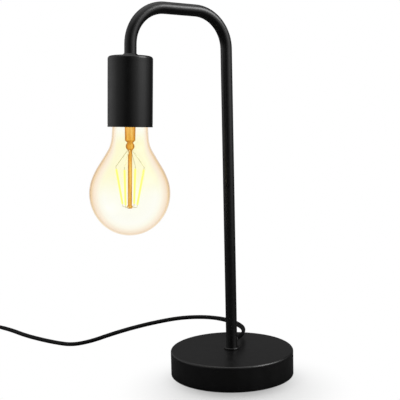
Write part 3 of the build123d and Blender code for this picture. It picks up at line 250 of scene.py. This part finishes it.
def stained(tree, facing, tints, paler, streaks, glow):
    """The tint of a wall that turns away from the eye by facing: it follows stops of (facing, colour).

    Paler is (low, high, share): below the height high the tint weakens, to that share of its place at low.
    Streaks deepens the tint in upright bands, as drawn glass does.
    Glow is (colour, rise, fall): a painted glow of the filaments' light, a further tint of the middle,
    between the heights rise and fall, as pairs.
    """
    ramp = tree.nodes.new("ShaderNodeValToRGB")
    stops = ramp.color_ramp.elements
    while len(stops) < len(tints):
        stops.new(0.5)
    for stop, (place, colour) in zip(stops, tints):
        stop.position, stop.color = place, (*colour, 1)
    where = tree.nodes.new("ShaderNodeTexCoord")
    split = tree.nodes.new("ShaderNodeSeparateXYZ")
    tree.links.new(where.outputs["Object"], split.inputs["Vector"])
    height, lean, tint = split.outputs["Z"], facing, ramp.outputs["Color"]
    if glow:
        colour, rise, fall = glow
        middle = eased(tree, facing, FACE_ON, EDGE_ON, 1.0, 0.0)
        rising, falling = eased(tree, height, *rise, 0.0, 1.0), eased(tree, height, *fall, 1.0, 0.0)
        band = math_node(tree, "MULTIPLY", rising, falling)
        warm = tree.nodes.new("ShaderNodeMixRGB")
        warm.blend_type = "MULTIPLY"
        warm.inputs["Color2"].default_value = (*colour, 1)
        tree.links.new(math_node(tree, "MULTIPLY", middle, band), warm.inputs["Fac"])
        tree.links.new(tint, warm.inputs["Color1"])
        tint = warm.outputs["Color"]
    if paler:
        low, high, least = paler
        lean = math_node(tree, "MULTIPLY", lean, eased(tree, height, low, high, least, 1.0))
    if streaks:
        bands = noise(tree, STREAK_CELLS, 1.0, STREAK_STRETCH)
        lean = math_node(tree, "ADD", lean, eased(tree, bands, STREAK_THIN, STREAK_FULL, 0.0, streaks))
    tree.links.new(lean, ramp.inputs["Fac"])
    return tint


# %% [markdown]
# A wall this thin bends no light that the eye could notice, and true refraction takes long to render
# without noise. So the shell has two faces and a shader that lets light straight through, tinted, and adds
# a gloss that rises towards the rim, as a Fresnel reflection does.

# %% A see-through shell
GLOSS_FROM = 0.3


def thin_glass(name, tints, gloss_low, gloss_high, gloss_roughness, paler=None, streaks=0.0, glow=None):
    """Stained glass that lets light straight through. Its gloss rises from low to high towards the rim."""
    made = bpy.data.materials.new(name)
    made.use_nodes = True
    tree = made.node_tree
    tree.nodes.clear()
    out = tree.nodes.new("ShaderNodeOutputMaterial")
    weight = tree.nodes.new("ShaderNodeLayerWeight")
    weight.inputs["Blend"].default_value = 0.5
    facing = weight.outputs["Facing"]
    clear = tree.nodes.new("ShaderNodeBsdfTransparent")
    gloss = tree.nodes.new("ShaderNodeBsdfGlossy")
    gloss.inputs["Roughness"].default_value = gloss_roughness
    share = eased(tree, facing, GLOSS_FROM, 1.0, gloss_low, gloss_high, "SMOOTHERSTEP")
    mix = tree.nodes.new("ShaderNodeMixShader")
    tree.links.new(stained(tree, facing, tints, paler, streaks, glow), clear.inputs["Color"])
    tree.links.new(share, mix.inputs["Fac"])
    tree.links.new(clear.outputs["BSDF"], mix.inputs[1])
    tree.links.new(gloss.outputs["BSDF"], mix.inputs[2])
    tree.links.new(mix.outputs["Shader"], out.inputs["Surface"])
    return made


# %% [markdown]
# The envelope is paler low down, at its round end. The stem inside is drawn from thicker glass, with a
# deeper stain that runs in streaks.

# %% The envelope and the stem
AMBER_TINTS = [
    (0.0, (1.0, 1.0, 0.968)), (0.24, (1.0, 1.0, 0.978)), (0.35, (1.0, 0.996, 0.962)),
    (0.45, (1.0, 0.975, 0.928)), (0.56, (0.998, 0.957, 0.905)), (0.68, (0.996, 0.936, 0.848)),
    (0.80, (0.975, 0.900, 0.785)), (0.93, (0.82, 0.70, 0.59)),
]
STEM_TINTS = [
    (0.0, (0.96, 0.77, 0.43)), (0.30, (0.93, 0.67, 0.31)), (0.62, (0.81, 0.53, 0.21)),
    (0.9, (0.68, 0.44, 0.19)),
]
PALER_LOW_DOWN = (0.150, 0.190, 0.80)
# a painted glow of the lit filaments: the glass is tinted yellower in its middle, between these heights
FILAMENT_GLOW = ((1.0, 0.994, 0.925), (0.178, 0.206), (0.227, 0.245))
amber_glass = thin_glass(
    "amber_glass", AMBER_TINTS, gloss_low=0.004, gloss_high=0.04, gloss_roughness=0.04, paler=PALER_LOW_DOWN,
    glow=FILAMENT_GLOW,
)
stem_glass = thin_glass(
    "stem_glass", STEM_TINTS, gloss_low=0.01, gloss_high=0.03, gloss_roughness=0.05, streaks=0.45,
)
dress(amber_glass, "bulb_glass")
dress(stem_glass, "glass_stem")

# %% [markdown]
# Each filament is a strip of tiny lights under a yellow coat. Lit, it is the brightest thing in the
# picture, but a camera that is exposed for the lamp's black metal still shows it yellow, so its glow is
# kept low. The wires that carry it shine in its light, which a fainter glow of their own stands for.

# %% Filaments, hooks and the cap
filament_coat = new_material(
    "filament_coat", (0.30, 0.27, 0.05), 0.5, Emission_Color=(1.0, 0.95, 0.24, 1), Emission_Strength=0.95
)
vary(filament_coat, "Roughness", 0.4, 0.6, 900.0)
nickel = new_material(
    "nickel_wire", (0.85, 0.80, 0.60), 0.4, 0.3, Emission_Color=(1.0, 0.93, 0.66, 1), Emission_Strength=0.30
)
vary(nickel, "Roughness", 0.25, 0.4, 800.0)
cap_metal = new_material("cap_metal", (0.70, 0.70, 0.68), 0.3, 1.0)
vary(cap_metal, "Roughness", 0.22, 0.4, 350.0)
black_glaze = new_material("black_glaze", (0.008, 0.006, 0.008), 0.12)
vary(black_glaze, "Roughness", 0.08, 0.2, 300.0)
solder = new_material("solder", (0.60, 0.59, 0.56), 0.4, 1.0)
grain(solder, 600.0, 0.0001)
board = new_material("circuit_board", (0.04, 0.16, 0.07), 0.45)
vary(board, "Base Color", (0.03, 0.13, 0.06), (0.06, 0.20, 0.09), 700.0)
dress(filament_coat, "filaments")
dress(nickel, "filament_wires")
dress(cap_metal, "bulb_cap")
dress(black_glaze, "cap_insulator")
dress(solder, "cap_tip")
dress(board, "driver_board")

# %% [markdown]
# ## The switch and the plug
# Both are moulded in black plastic. The switch's shells are polished and the plug's soft moulding is
# duller, so they differ in roughness more than in colour. The pins are plated.

# %% Finishes of the switch and the plug
gloss_black = new_material("gloss_black", (0.019, 0.018, 0.0195), 0.30, Specular_IOR_Level=0.5)
vary(gloss_black, "Roughness", 0.24, 0.38, 120.0)
vary(gloss_black, "Base Color", (0.017, 0.016, 0.0175), (0.022, 0.021, 0.0225), 260.0)
grain(gloss_black, 900.0, 0.00001)
soft_black = new_material("soft_black", (0.014, 0.014, 0.0145), 0.5, Specular_IOR_Level=0.4)
vary(soft_black, "Roughness", 0.45, 0.58, 200.0)
grain(soft_black, 1500.0, 0.00003)
pin_plate = new_material("pin_plate", (0.72, 0.68, 0.60), 0.22, 1.0)
vary(pin_plate, "Roughness", 0.16, 0.32, 500.0, stretch=(1, 0.1, 1))
dress(gloss_black, "switch_base", "switch_top", "rocker")
dress(soft_black, "plug_body")
dress(pin_plate, "plug_pins")

# %% [markdown]
# The lead's ends inside them are one solid each. The black sheath stops a little past the clamp, and two
# blue cores go on to their screws. One material does both: its colour changes with the distance from the
# middle of the switch, or from the plug's face.

# %% The lead's stripped ends
SHEATH_BLACK = (0.004, 0.004, 0.0042)
SWITCH_MIDDLE, SWITCH_STRIPPED = (-221.0, 327.5, 8.0), 24.4
PLUG_FACE, PLUG_STRIPPED = (-279.0, 122.0, 7.0), 20.6
SHEATH_CUT = 0.1


def stripped_lead(name, start, reach):
    """A lead's end in its housing: blue cores as far as reach (mm) from the start, black sheath beyond."""
    made = new_material(name, CORE_BLUE, 0.45)
    tree = made.node_tree
    where = tree.nodes.new("ShaderNodeTexCoord")
    away = tree.nodes.new("ShaderNodeVectorMath")
    away.operation = "DISTANCE"
    away.inputs[1].default_value = [v * MM for v in start]
    tree.links.new(where.outputs["Object"], away.inputs[0])
    coat = tree.nodes.new("ShaderNodeMixRGB")
    coat.inputs["Color1"].default_value = (*CORE_BLUE, 1)
    coat.inputs["Color2"].default_value = (*SHEATH_BLACK, 1)
    low, high = (reach - SHEATH_CUT) * MM, (reach + SHEATH_CUT) * MM
    beyond = eased(tree, away.outputs["Value"], low, high, 0.0, 1.0)
    tree.links.new(beyond, coat.inputs["Fac"])
    tree.links.new(coat.outputs["Color"], tree.nodes["Principled BSDF"].inputs["Base Color"])
    vary(made, "Roughness", 0.4, 0.5, 500.0)
    return made


dress(stripped_lead("switch_lead_ends", SWITCH_MIDDLE, SWITCH_STRIPPED), "switch_leads")
dress(stripped_lead("plug_lead_end", PLUG_FACE, PLUG_STRIPPED), "plug_leads")

# %% [markdown]
# ## The free lead
# The lead is a flat flex: two cores side by side in one sheath, 5.2 mm wide and 3.3 mm thick. Such a flex
# bends easily across its thickness and hardly at all across its width, so it stands on edge through a
# sideways bend and lies flat where it rests. The routes below are its centreline: one from the shaft to the
# switch, as the photograph shows it lying, and one from the switch to the coil.

# %% The lead's route
FLEX_WIDTH, FLEX_THICK = 5.2, 3.3
EXIT_TURN, EXIT_REACH, EXIT_RUN, EXIT_HEIGHT = math.radians(27.0), 6.35, 16.1, 32.0


def beside_shaft(reach):
    """A point straight out of the shaft's side, that far from its axis."""
    return (reach * math.cos(EXIT_TURN), reach * math.sin(EXIT_TURN), EXIT_HEIGHT)


EXIT = beside_shaft(EXIT_REACH)
LEAD_ROUTE = [
    EXIT, beside_shaft(EXIT_REACH + EXIT_RUN), (36.2, 31.0, 31.8), (41.0, 53.0, 31.9), (39.0, 76.0, 32.0),
    (28.0, 96.5, 31.7), (7.5, 112.5, 30.5), (-15.5, 124.0, 27.0), (-39.5, 133.0, 22.7), (-64.0, 140.5, 17.4),
    (-85.0, 148.5, 11.0), (-100.0, 167.0, 5.0), (-108.0, 194.0, 2.4), (-118.0, 220.0, 2.1),
    (-126.5, 247.0, 2.1), (-131.5, 275.0, 2.1), (-139.5, 301.0, 2.2), (-148.5, 313.5, 3.4),
    (-160.5, 322.5, 5.8), (-174.5, 327.5, 8.0), (-190.0, 327.5, 8.0),
]
RUN_ROUTE = [
    (-252.0, 327.5, 8.0), (-267.5, 327.5, 8.0), (-282.0, 320.5, 5.6), (-290.5, 306.5, 3.2),
    (-291.5, 290.0, 2.7), (-287.0, 272.0, 2.7), (-280.5, 254.5, 2.7),
]
print("leaves the shaft at", [round(v, 2) for v in EXIT], "and reaches the switch at", LEAD_ROUTE[-1])

# %% [markdown]
# The length that isn't needed is put away in a neat coil, two layers high. It winds in to the middle on the
# table, climbs in one half turn, and winds out again on top. Half turns give a spiral easily: each has its
# own centre, half a step from the last one's, so the turns open evenly. The end then goes on to the plug.

# %% The put-away coil
COIL_CENTRE, COIL_INNER, COIL_STEP, COIL_HALVES = (-244.4, 232.0), 23.55, 3.7, 6
COIL_LOW, COIL_RISE = 2.75, 5.4
POINTS_PER_HALF = 8


def coil_route():
    """Half turns in, one that climbs a layer, and half turns out again; each is an even fan of points.

    The fan is a little wider than its turn, because a spline passes inside its control points.
    """
    cx, cy = COIL_CENTRE
    shrink = (1 + math.cos(math.pi / POINTS_PER_HALF)) / 2
    x, side, points = cx - COIL_INNER - COIL_HALVES * COIL_STEP / 2, 1, []
    low, high = COIL_LOW, COIL_LOW + COIL_RISE
    steps = [(k, low, low) for k in range(COIL_HALVES, 0, -1)] + [(0, low, high)]
    steps += [(k, high, high) for k in range(1, COIL_HALVES)]
    for k, z0, z1 in steps:
        radius = COIL_INNER + k * COIL_STEP / 2
        middle = x + side * radius
        turn = (np.arange(POINTS_PER_HALF) + 0.5) * math.pi / POINTS_PER_HALF
        reach = radius / shrink
        share = turn / math.pi
        points.append(np.column_stack([
            middle - side * reach * np.cos(turn), cy - side * reach * np.sin(turn),
            z0 + (z1 - z0) * share * share * (3 - 2 * share),
        ]))
        x, side = x + 2 * side * radius, -side
    return np.vstack(points), x


coil_points, coil_out_x = coil_route()
PLUG_X, PLUG_Y, PLUG_Z = -279.0, 176.0, 7.0
TAIL_ROUTE = [
    (coil_out_x, COIL_CENTRE[1] - 9, COIL_LOW + COIL_RISE), (coil_out_x - 0.4, COIL_CENTRE[1] - 20, 8.0),
    (PLUG_X + 0.3, COIL_CENTRE[1] - 32, 7.6), (PLUG_X, PLUG_Y + 12, PLUG_Z), (PLUG_X, PLUG_Y, PLUG_Z),
]
print("coil points", len(coil_points), "out at", round(coil_out_x, 2))

# %% [markdown]
# Straight runs between these points would look like bent wire. A quadratic NURBS spline takes them as its
# control points instead, and follows them in one smooth line. Blender works the line out when the curve is
# made a mesh with no bevel, so its points can be read from there.

# %% The smooth line of a route
STEPS_PER_POINT = 8


def spline_line(route):
    """The smooth line of a route: a quadratic NURBS spline with the route's points as its control points."""
    curve = bpy.data.curves.new("route", "CURVE")
    curve.dimensions = "3D"
    curve.resolution_u = STEPS_PER_POINT
    spline = curve.splines.new("NURBS")
    spline.points.add(len(route) - 1)
    flat = np.ones((len(route), 4))
    flat[:, :3] = np.asarray(route, float) * MM
    spline.points.foreach_set("co", flat.ravel())
    spline.order_u = 3
    spline.use_endpoint_u = True
    holder = bpy.data.objects.new("route", curve)
    line = bpy.data.meshes.new_from_object(holder)
    points = np.empty(len(line.vertices) * 3)
    line.vertices.foreach_get("co", points)
    bpy.data.objects.remove(holder)
    bpy.data.meshes.remove(line)
    return points.reshape(-1, 3)


def along(points):
    """Distance travelled at each point of a line."""
    return np.concatenate([[0], np.cumsum(np.linalg.norm(np.diff(points, axis=0), axis=1))])


lead_line = spline_line(LEAD_ROUTE)
lead_run = along(lead_line)
spare_line = spline_line(RUN_ROUTE + coil_points.tolist() + TAIL_ROUTE)
spare_run = along(spare_line)
whole = spare_run[-1] / MM
print("lead", round(lead_run[-1] / MM, 1), "mm; spare", round(whole, 1), "mm")

# %% [markdown]
# A surface worked out with numpy comes as an array of points, ring after ring. Four neighbours make each
# face, and their numbers follow from the ring and the place in it, so the faces need no loop either. The
# object stays at the origin, and its place is in its points.

# %% A mesh from an array of points
def mesh_object(name, vertices, faces, material, smooth=True):
    """A mesh object at the origin, with its place in its vertices."""
    mesh = bpy.data.meshes.new(name)
    mesh.from_pydata(vertices.tolist(), [], faces)
    mesh.materials.append(material)
    mesh.polygons.foreach_set("use_smooth", [smooth] * len(mesh.polygons))
    mesh.update()
    made = bpy.data.objects.new(name, mesh)
    scene.collection.objects.link(made)
    return made


def grid_faces(rows, columns):
    """Quads between closed rings of points that are stored ring by ring."""
    r, c = np.meshgrid(np.arange(rows - 1), np.arange(columns), indexing="ij")
    nxt = (c + 1) % columns
    this, above = r * columns, (r + 1) * columns
    return np.stack([this + c, this + nxt, above + nxt, above + c], axis=-1).reshape(-1, 4).tolist()


# %% [markdown]
# The flex itself is one closed outline carried along the line: two round cores side by side, with a shallow
# groove where they meet. At each point of the line the outline stands square to the way ahead, and its wide
# side leans from level by an angle. All rings are worked out together, as one array.

# %% The flex's section
CORE_POINTS = 13


def twin_section(width, thick):
    """Two overlapping circles side by side: the outer part of one, from groove to groove, then its mirror."""
    radius, apart = thick / 2, (width - thick) / 2
    reach = math.pi - math.acos(apart / radius)
    turn = np.linspace(-reach, reach, CORE_POINTS)
    half = np.column_stack([apart + radius * np.cos(turn), radius * np.sin(turn)])
    return np.vstack([half, -half[1:-1]])


def flex(name, line, lean, material):
    """The flex's section along a line. Its wide side leans from level by an angle given at every point."""
    ahead = np.gradient(line, axis=0)
    ahead /= np.linalg.norm(ahead, axis=1, keepdims=True)
    level = np.cross(ahead, [0, 0, 1])
    level /= np.linalg.norm(level, axis=1, keepdims=True)
    above = np.cross(level, ahead)
    cos, sin = np.cos(lean)[:, None], np.sin(lean)[:, None]
    wide, thin = level * cos + above * sin, above * cos - level * sin
    section = twin_section(FLEX_WIDTH * MM, FLEX_THICK * MM)
    rings = line[:, None] + section[None, :, :1] * wide[:, None] + section[None, :, 1:] * thin[:, None]
    rows, columns = rings.shape[:2]
    faces = grid_faces(rows, columns)
    faces += [list(range(columns))[::-1], [(rows - 1) * columns + i for i in range(columns)]]
    return mesh_object(name, rings.reshape(-1, 3), faces, material)


# %% [markdown]
# From the shaft the flex hangs nearly on edge, and turns almost flat as it comes down to the table. In the
# coil it stands on edge, and it lies flat where it goes into the switch and the plug. The stops below say
# that, as pairs of (distance in mm, degrees). The sheath is a satin black with a slight grain.

# %% The flex on its route
def lean_along(travelled, stops):
    """An angle in radians that runs evenly between (distance in mm, degrees) stops."""
    places, values = zip(*stops)
    return np.radians(np.interp(travelled / MM, places, values))


sheath = new_material("flex_sheath", (0.002, 0.002, 0.0021), 0.36, Specular_IOR_Level=0.08)
vary(sheath, "Roughness", 0.33, 0.45, 150.0)
grain(sheath, 1500.0, 0.00002)
LEAD_LEANS = [(0, 70), (48, 70), (95, 20), (390, 20), (420, 0), (1000, 0)]
lead = flex("lead_flex", lead_line, lean_along(lead_run, LEAD_LEANS), sheath)
SPARE_LEANS = [(0, 0), (16, 0), (60, 90), (whole - 40, 90), (whole - 16, 0), (whole, 0)]
spare = flex("spare_flex", spare_line, lean_along(spare_run, SPARE_LEANS), sheath)
print("faces", len(lead.data.polygons), "on the lead and", len(spare.data.polygons), "on the rest")

# %% [markdown]
# Each stretch stands for the round tube that holds its place among the solids. Both are attached to the
# lamp's body, and those tubes are hidden. The first ends in the switch. The second leaves the switch and ends
# in the plug.

for piece in (lead, spare):
    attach(piece, "lamp")
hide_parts("cord_lead")
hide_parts("cord_run", "cord_coil", "cord_tail")

# %% [markdown]
# ## Floor, backdrop and light
# The lamp stands in a white studio, on a floor that takes its soft shadow, partly cast and partly painted.
# More light would whiten the floor, but it would also wash out the black metal. So only what the camera sees
# is whitened, and Light Path says which rays those are: the camera's own, and those that have gone through
# glass.

# %% What the camera sees directly
def ray_is(tree, *kinds):
    """1 for rays of any of the kinds that Light Path names, else 0."""
    rays = tree.nodes.new("ShaderNodeLightPath")
    found = rays.outputs[kinds[0]]
    for kind in kinds[1:]:
        either = tree.nodes.new("ShaderNodeMath")
        either.operation = "MAXIMUM"
        tree.links.new(found, either.inputs[0])
        tree.links.new(rays.outputs[kind], either.inputs[1])
        found = either.outputs["Value"]
    return found


# %% [markdown]
# The floor's own shader does the whitening. A thin veil of glow lightens the shadow. Round the foot the floor
# stays grey even where no shadow falls, and fades to plain white with the distance from a point a little in
# front of the foot: a painted shadow, with the cast shade close to the foot inside it. Neither the veil nor
# the white adds to the light that reaches the lamp. The metal mirrors the floor darkened to less than a
# tenth, a painted shade in its reflections.

# %% The floor
# the third number darkens the floor that the metal mirrors, to less than a tenth: a painted shade in its
# reflections
FLOOR_SIDE, FLOOR_ALBEDO, FLOOR_MIRROR_SHADE = 12.0, 0.80, 0.93
VEIL, VEIL_LEVEL = 0.55, 0.66
# a painted shadow: grey round a point this far in front of the foot, fading to white between the near and far
# distances
PAINTED_SHADOW_AHEAD, PAINTED_SHADOW_NEAR, PAINTED_SHADOW_FAR = -0.043, 0.020, 0.115


def studio_floor():
    """A wide level sheet: near the lamp it takes the cast shadow inside a painted grey one, farther out what
    the camera sees is white.
    """
    ring = np.array([(-1, -1, 0), (1, -1, 0), (1, 1, 0), (-1, 1, 0)], float) * FLOOR_SIDE / 2
    made = bpy.data.materials.new("studio_floor")
    made.use_nodes = True
    tree = made.node_tree
    tree.nodes.clear()
    out = tree.nodes.new("ShaderNodeOutputMaterial")
    matte = tree.nodes.new("ShaderNodeBsdfDiffuse")
    matte.inputs["Color"].default_value = (FLOOR_ALBEDO, FLOOR_ALBEDO, FLOOR_ALBEDO, 1)
    where = tree.nodes.new("ShaderNodeTexCoord")
    reach = tree.nodes.new("ShaderNodeVectorMath")
    reach.operation = "DISTANCE"
    reach.inputs[1].default_value = Vector((forward.x, forward.y, 0)).normalized() * PAINTED_SHADOW_AHEAD
    tree.links.new(where.outputs["Object"], reach.inputs[0])
    seen = ray_is(tree, "Is Camera Ray", "Is Transmission Ray")
    mirrored = ray_is(tree, "Is Glossy Ray")
    # the painted shadow fades out with the distance from that point
    painted_shadow_fade = eased(tree, reach.outputs["Value"], PAINTED_SHADOW_NEAR, PAINTED_SHADOW_FAR, 0.0, 1.0)
    far = math_node(tree, "MULTIPLY", painted_shadow_fade, seen)
    # the floor seen in the mirror is darkened: a painted shade
    mirror_shade = math_node(tree, "MULTIPLY", mirrored, FLOOR_MIRROR_SHADE)
    veil = tree.nodes.new("ShaderNodeEmission")
    veil.inputs["Strength"].default_value = VEIL_LEVEL
    white = tree.nodes.new("ShaderNodeEmission")
    tree.links.new(seen, white.inputs["Strength"])
    near = tree.nodes.new("ShaderNodeMixShader")
    both = tree.nodes.new("ShaderNodeMixShader")
    tree.links.new(math_node(tree, "MULTIPLY", seen, VEIL), near.inputs["Fac"])
    tree.links.new(matte.outputs["BSDF"], near.inputs[1])
    tree.links.new(veil.outputs["Emission"], near.inputs[2])
    tree.links.new(math_node(tree, "ADD", far, mirror_shade), both.inputs["Fac"])
    tree.links.new(near.outputs["Shader"], both.inputs[1])
    tree.links.new(white.outputs["Emission"], both.inputs[2])
    tree.links.new(both.outputs["Shader"], out.inputs["Surface"])
    floor = mesh_object("studio_floor", ring, [[0, 1, 2, 3]], made, smooth=False)
    print("floor", FLOOR_SIDE, "m wide, plain white from", PAINTED_SHADOW_FAR, "m out")


studio_floor()

# %% [markdown]
# ## Soft boxes
# Black metal shows nothing but what it mirrors, so its lights are chosen for their reflections. Two low
# soft boxes, one on each side, draw the pale bands down the tube and the sleeve. A large box behind and
# above throws the shadow forward and is left out of the mirror, because it would whiten the bar's top edge.
# A small box high on the right is there for the mirror alone, and leaves a faint highlight along the bar.

# %% The lights
AIM = Vector((-0.05, 0.0, 0.17))
SIDE_AWAY, HIGH_AWAY = 1.3, 1.4
SIDE_BOX, BACK_BOX, HIGH_BOX = (1.1, 1.3), (1.6, 0.9), (0.9, 0.6)
LEFT_WATTS, RIGHT_WATTS, BACK_WATTS, HIGH_WATTS = 1.4, 2.2, 21.0, 13.0


def soft_box(name, towards, away, size, power):
    """A rectangular area light that far from the aim in a direction, turned to face it."""
    lamp = bpy.data.lights.new(name, "AREA")
    lamp.shape = "RECTANGLE"
    lamp.size, lamp.size_y = size
    lamp.energy = power
    made = bpy.data.objects.new(name, lamp)
    towards = towards.normalized()
    facing = (-towards).to_track_quat("-Z", "Y").to_matrix().to_4x4()
    made.matrix_world = Matrix.Translation(AIM + towards * away) @ facing
    scene.collection.objects.link(made)
    print(name, power, "W at", [round(v, 2) for v in made.matrix_world.translation])
    return made


ahead = Vector((forward.x, forward.y, 0)).normalized()
side = Vector((ahead.y, -ahead.x, 0))
overhead = Vector((0, 0, 1))
soft_box("left_box", -side + ahead * 0.1 + overhead * 0.15, SIDE_AWAY, SIDE_BOX, LEFT_WATTS)
soft_box("right_box", side - ahead * 0.45 + overhead * 0.15, SIDE_AWAY, SIDE_BOX, RIGHT_WATTS)
back_box = soft_box("back_box", ahead * 0.6 + overhead, HIGH_AWAY, BACK_BOX, BACK_WATTS)
back_box.visible_glossy = False
high_box = soft_box("high_box", side * 0.77 - ahead * 0.21 + overhead * 0.6, HIGH_AWAY, HIGH_BOX, HIGH_WATTS)
high_box.visible_diffuse = False

# %% [markdown]
# ## The room
# Round the lights stands a dim room that grows brighter towards the left, the right, the back and overhead,
# which the paint shows as slow gradients. The world's shader makes that room for mirrored rays alone. What
# the camera sees of the world is plain white, and to all other rays it gives a low, even light.

# %% The world
AMBIENT, ROOM_DIM = 0.42, 0.05
# each side: its direction, the dot product with it where the brightness starts, and the brightness itself
ROOM_SIDES = (
    (ahead + overhead * 0.5, 0.5, 0.06), (-side, 0.1, 0.45), (side - ahead * 0.5, 0.4, 0.60),
    (overhead, 0.6, 1.2),
)


def brightness(tree, direction, start, high):
    """A side's brightness: it eases up to high as a ray's dot product with the direction nears 1."""
    where = tree.nodes.new("ShaderNodeTexCoord")
    share = tree.nodes.new("ShaderNodeVectorMath")
    share.operation = "DOT_PRODUCT"
    share.inputs[1].default_value = direction.normalized()
    tree.links.new(where.outputs["Generated"], share.inputs[0])
    return eased(tree, share.outputs["Value"], start, 1.0, 0.0, high)


def studio_world():
    """The room for mirrored rays, plain white for what is seen, and the ambient level for the others."""
    made = bpy.data.worlds.new("studio")
    made.use_nodes = True
    tree = made.node_tree
    room = brightness(tree, *ROOM_SIDES[0])
    for one_side in ROOM_SIDES[1:]:
        room = math_node(tree, "ADD", room, brightness(tree, *one_side))
    room = math_node(tree, "ADD", room, ROOM_DIM)
    mirrored = math_node(tree, "MULTIPLY", room, ray_is(tree, "Is Glossy Ray"))
    seen = ray_is(tree, "Is Camera Ray", "Is Transmission Ray")
    direct = ray_is(tree, "Is Camera Ray", "Is Transmission Ray", "Is Glossy Ray")
    ambient = math_node(tree, "MULTIPLY", math_node(tree, "SUBTRACT", 1.0, direct), AMBIENT)
    strength = math_node(tree, "ADD", math_node(tree, "ADD", mirrored, seen), ambient)
    back = tree.nodes["Background"]
    tree.links.new(strength, back.inputs["Strength"])
    back.inputs["Color"].default_value = (1, 1, 1, 1)
    return made


scene.world = studio_world()
scene.view_settings.view_transform = "Standard"
print("room with", len(ROOM_SIDES), "bright sides, ambient", AMBIENT)
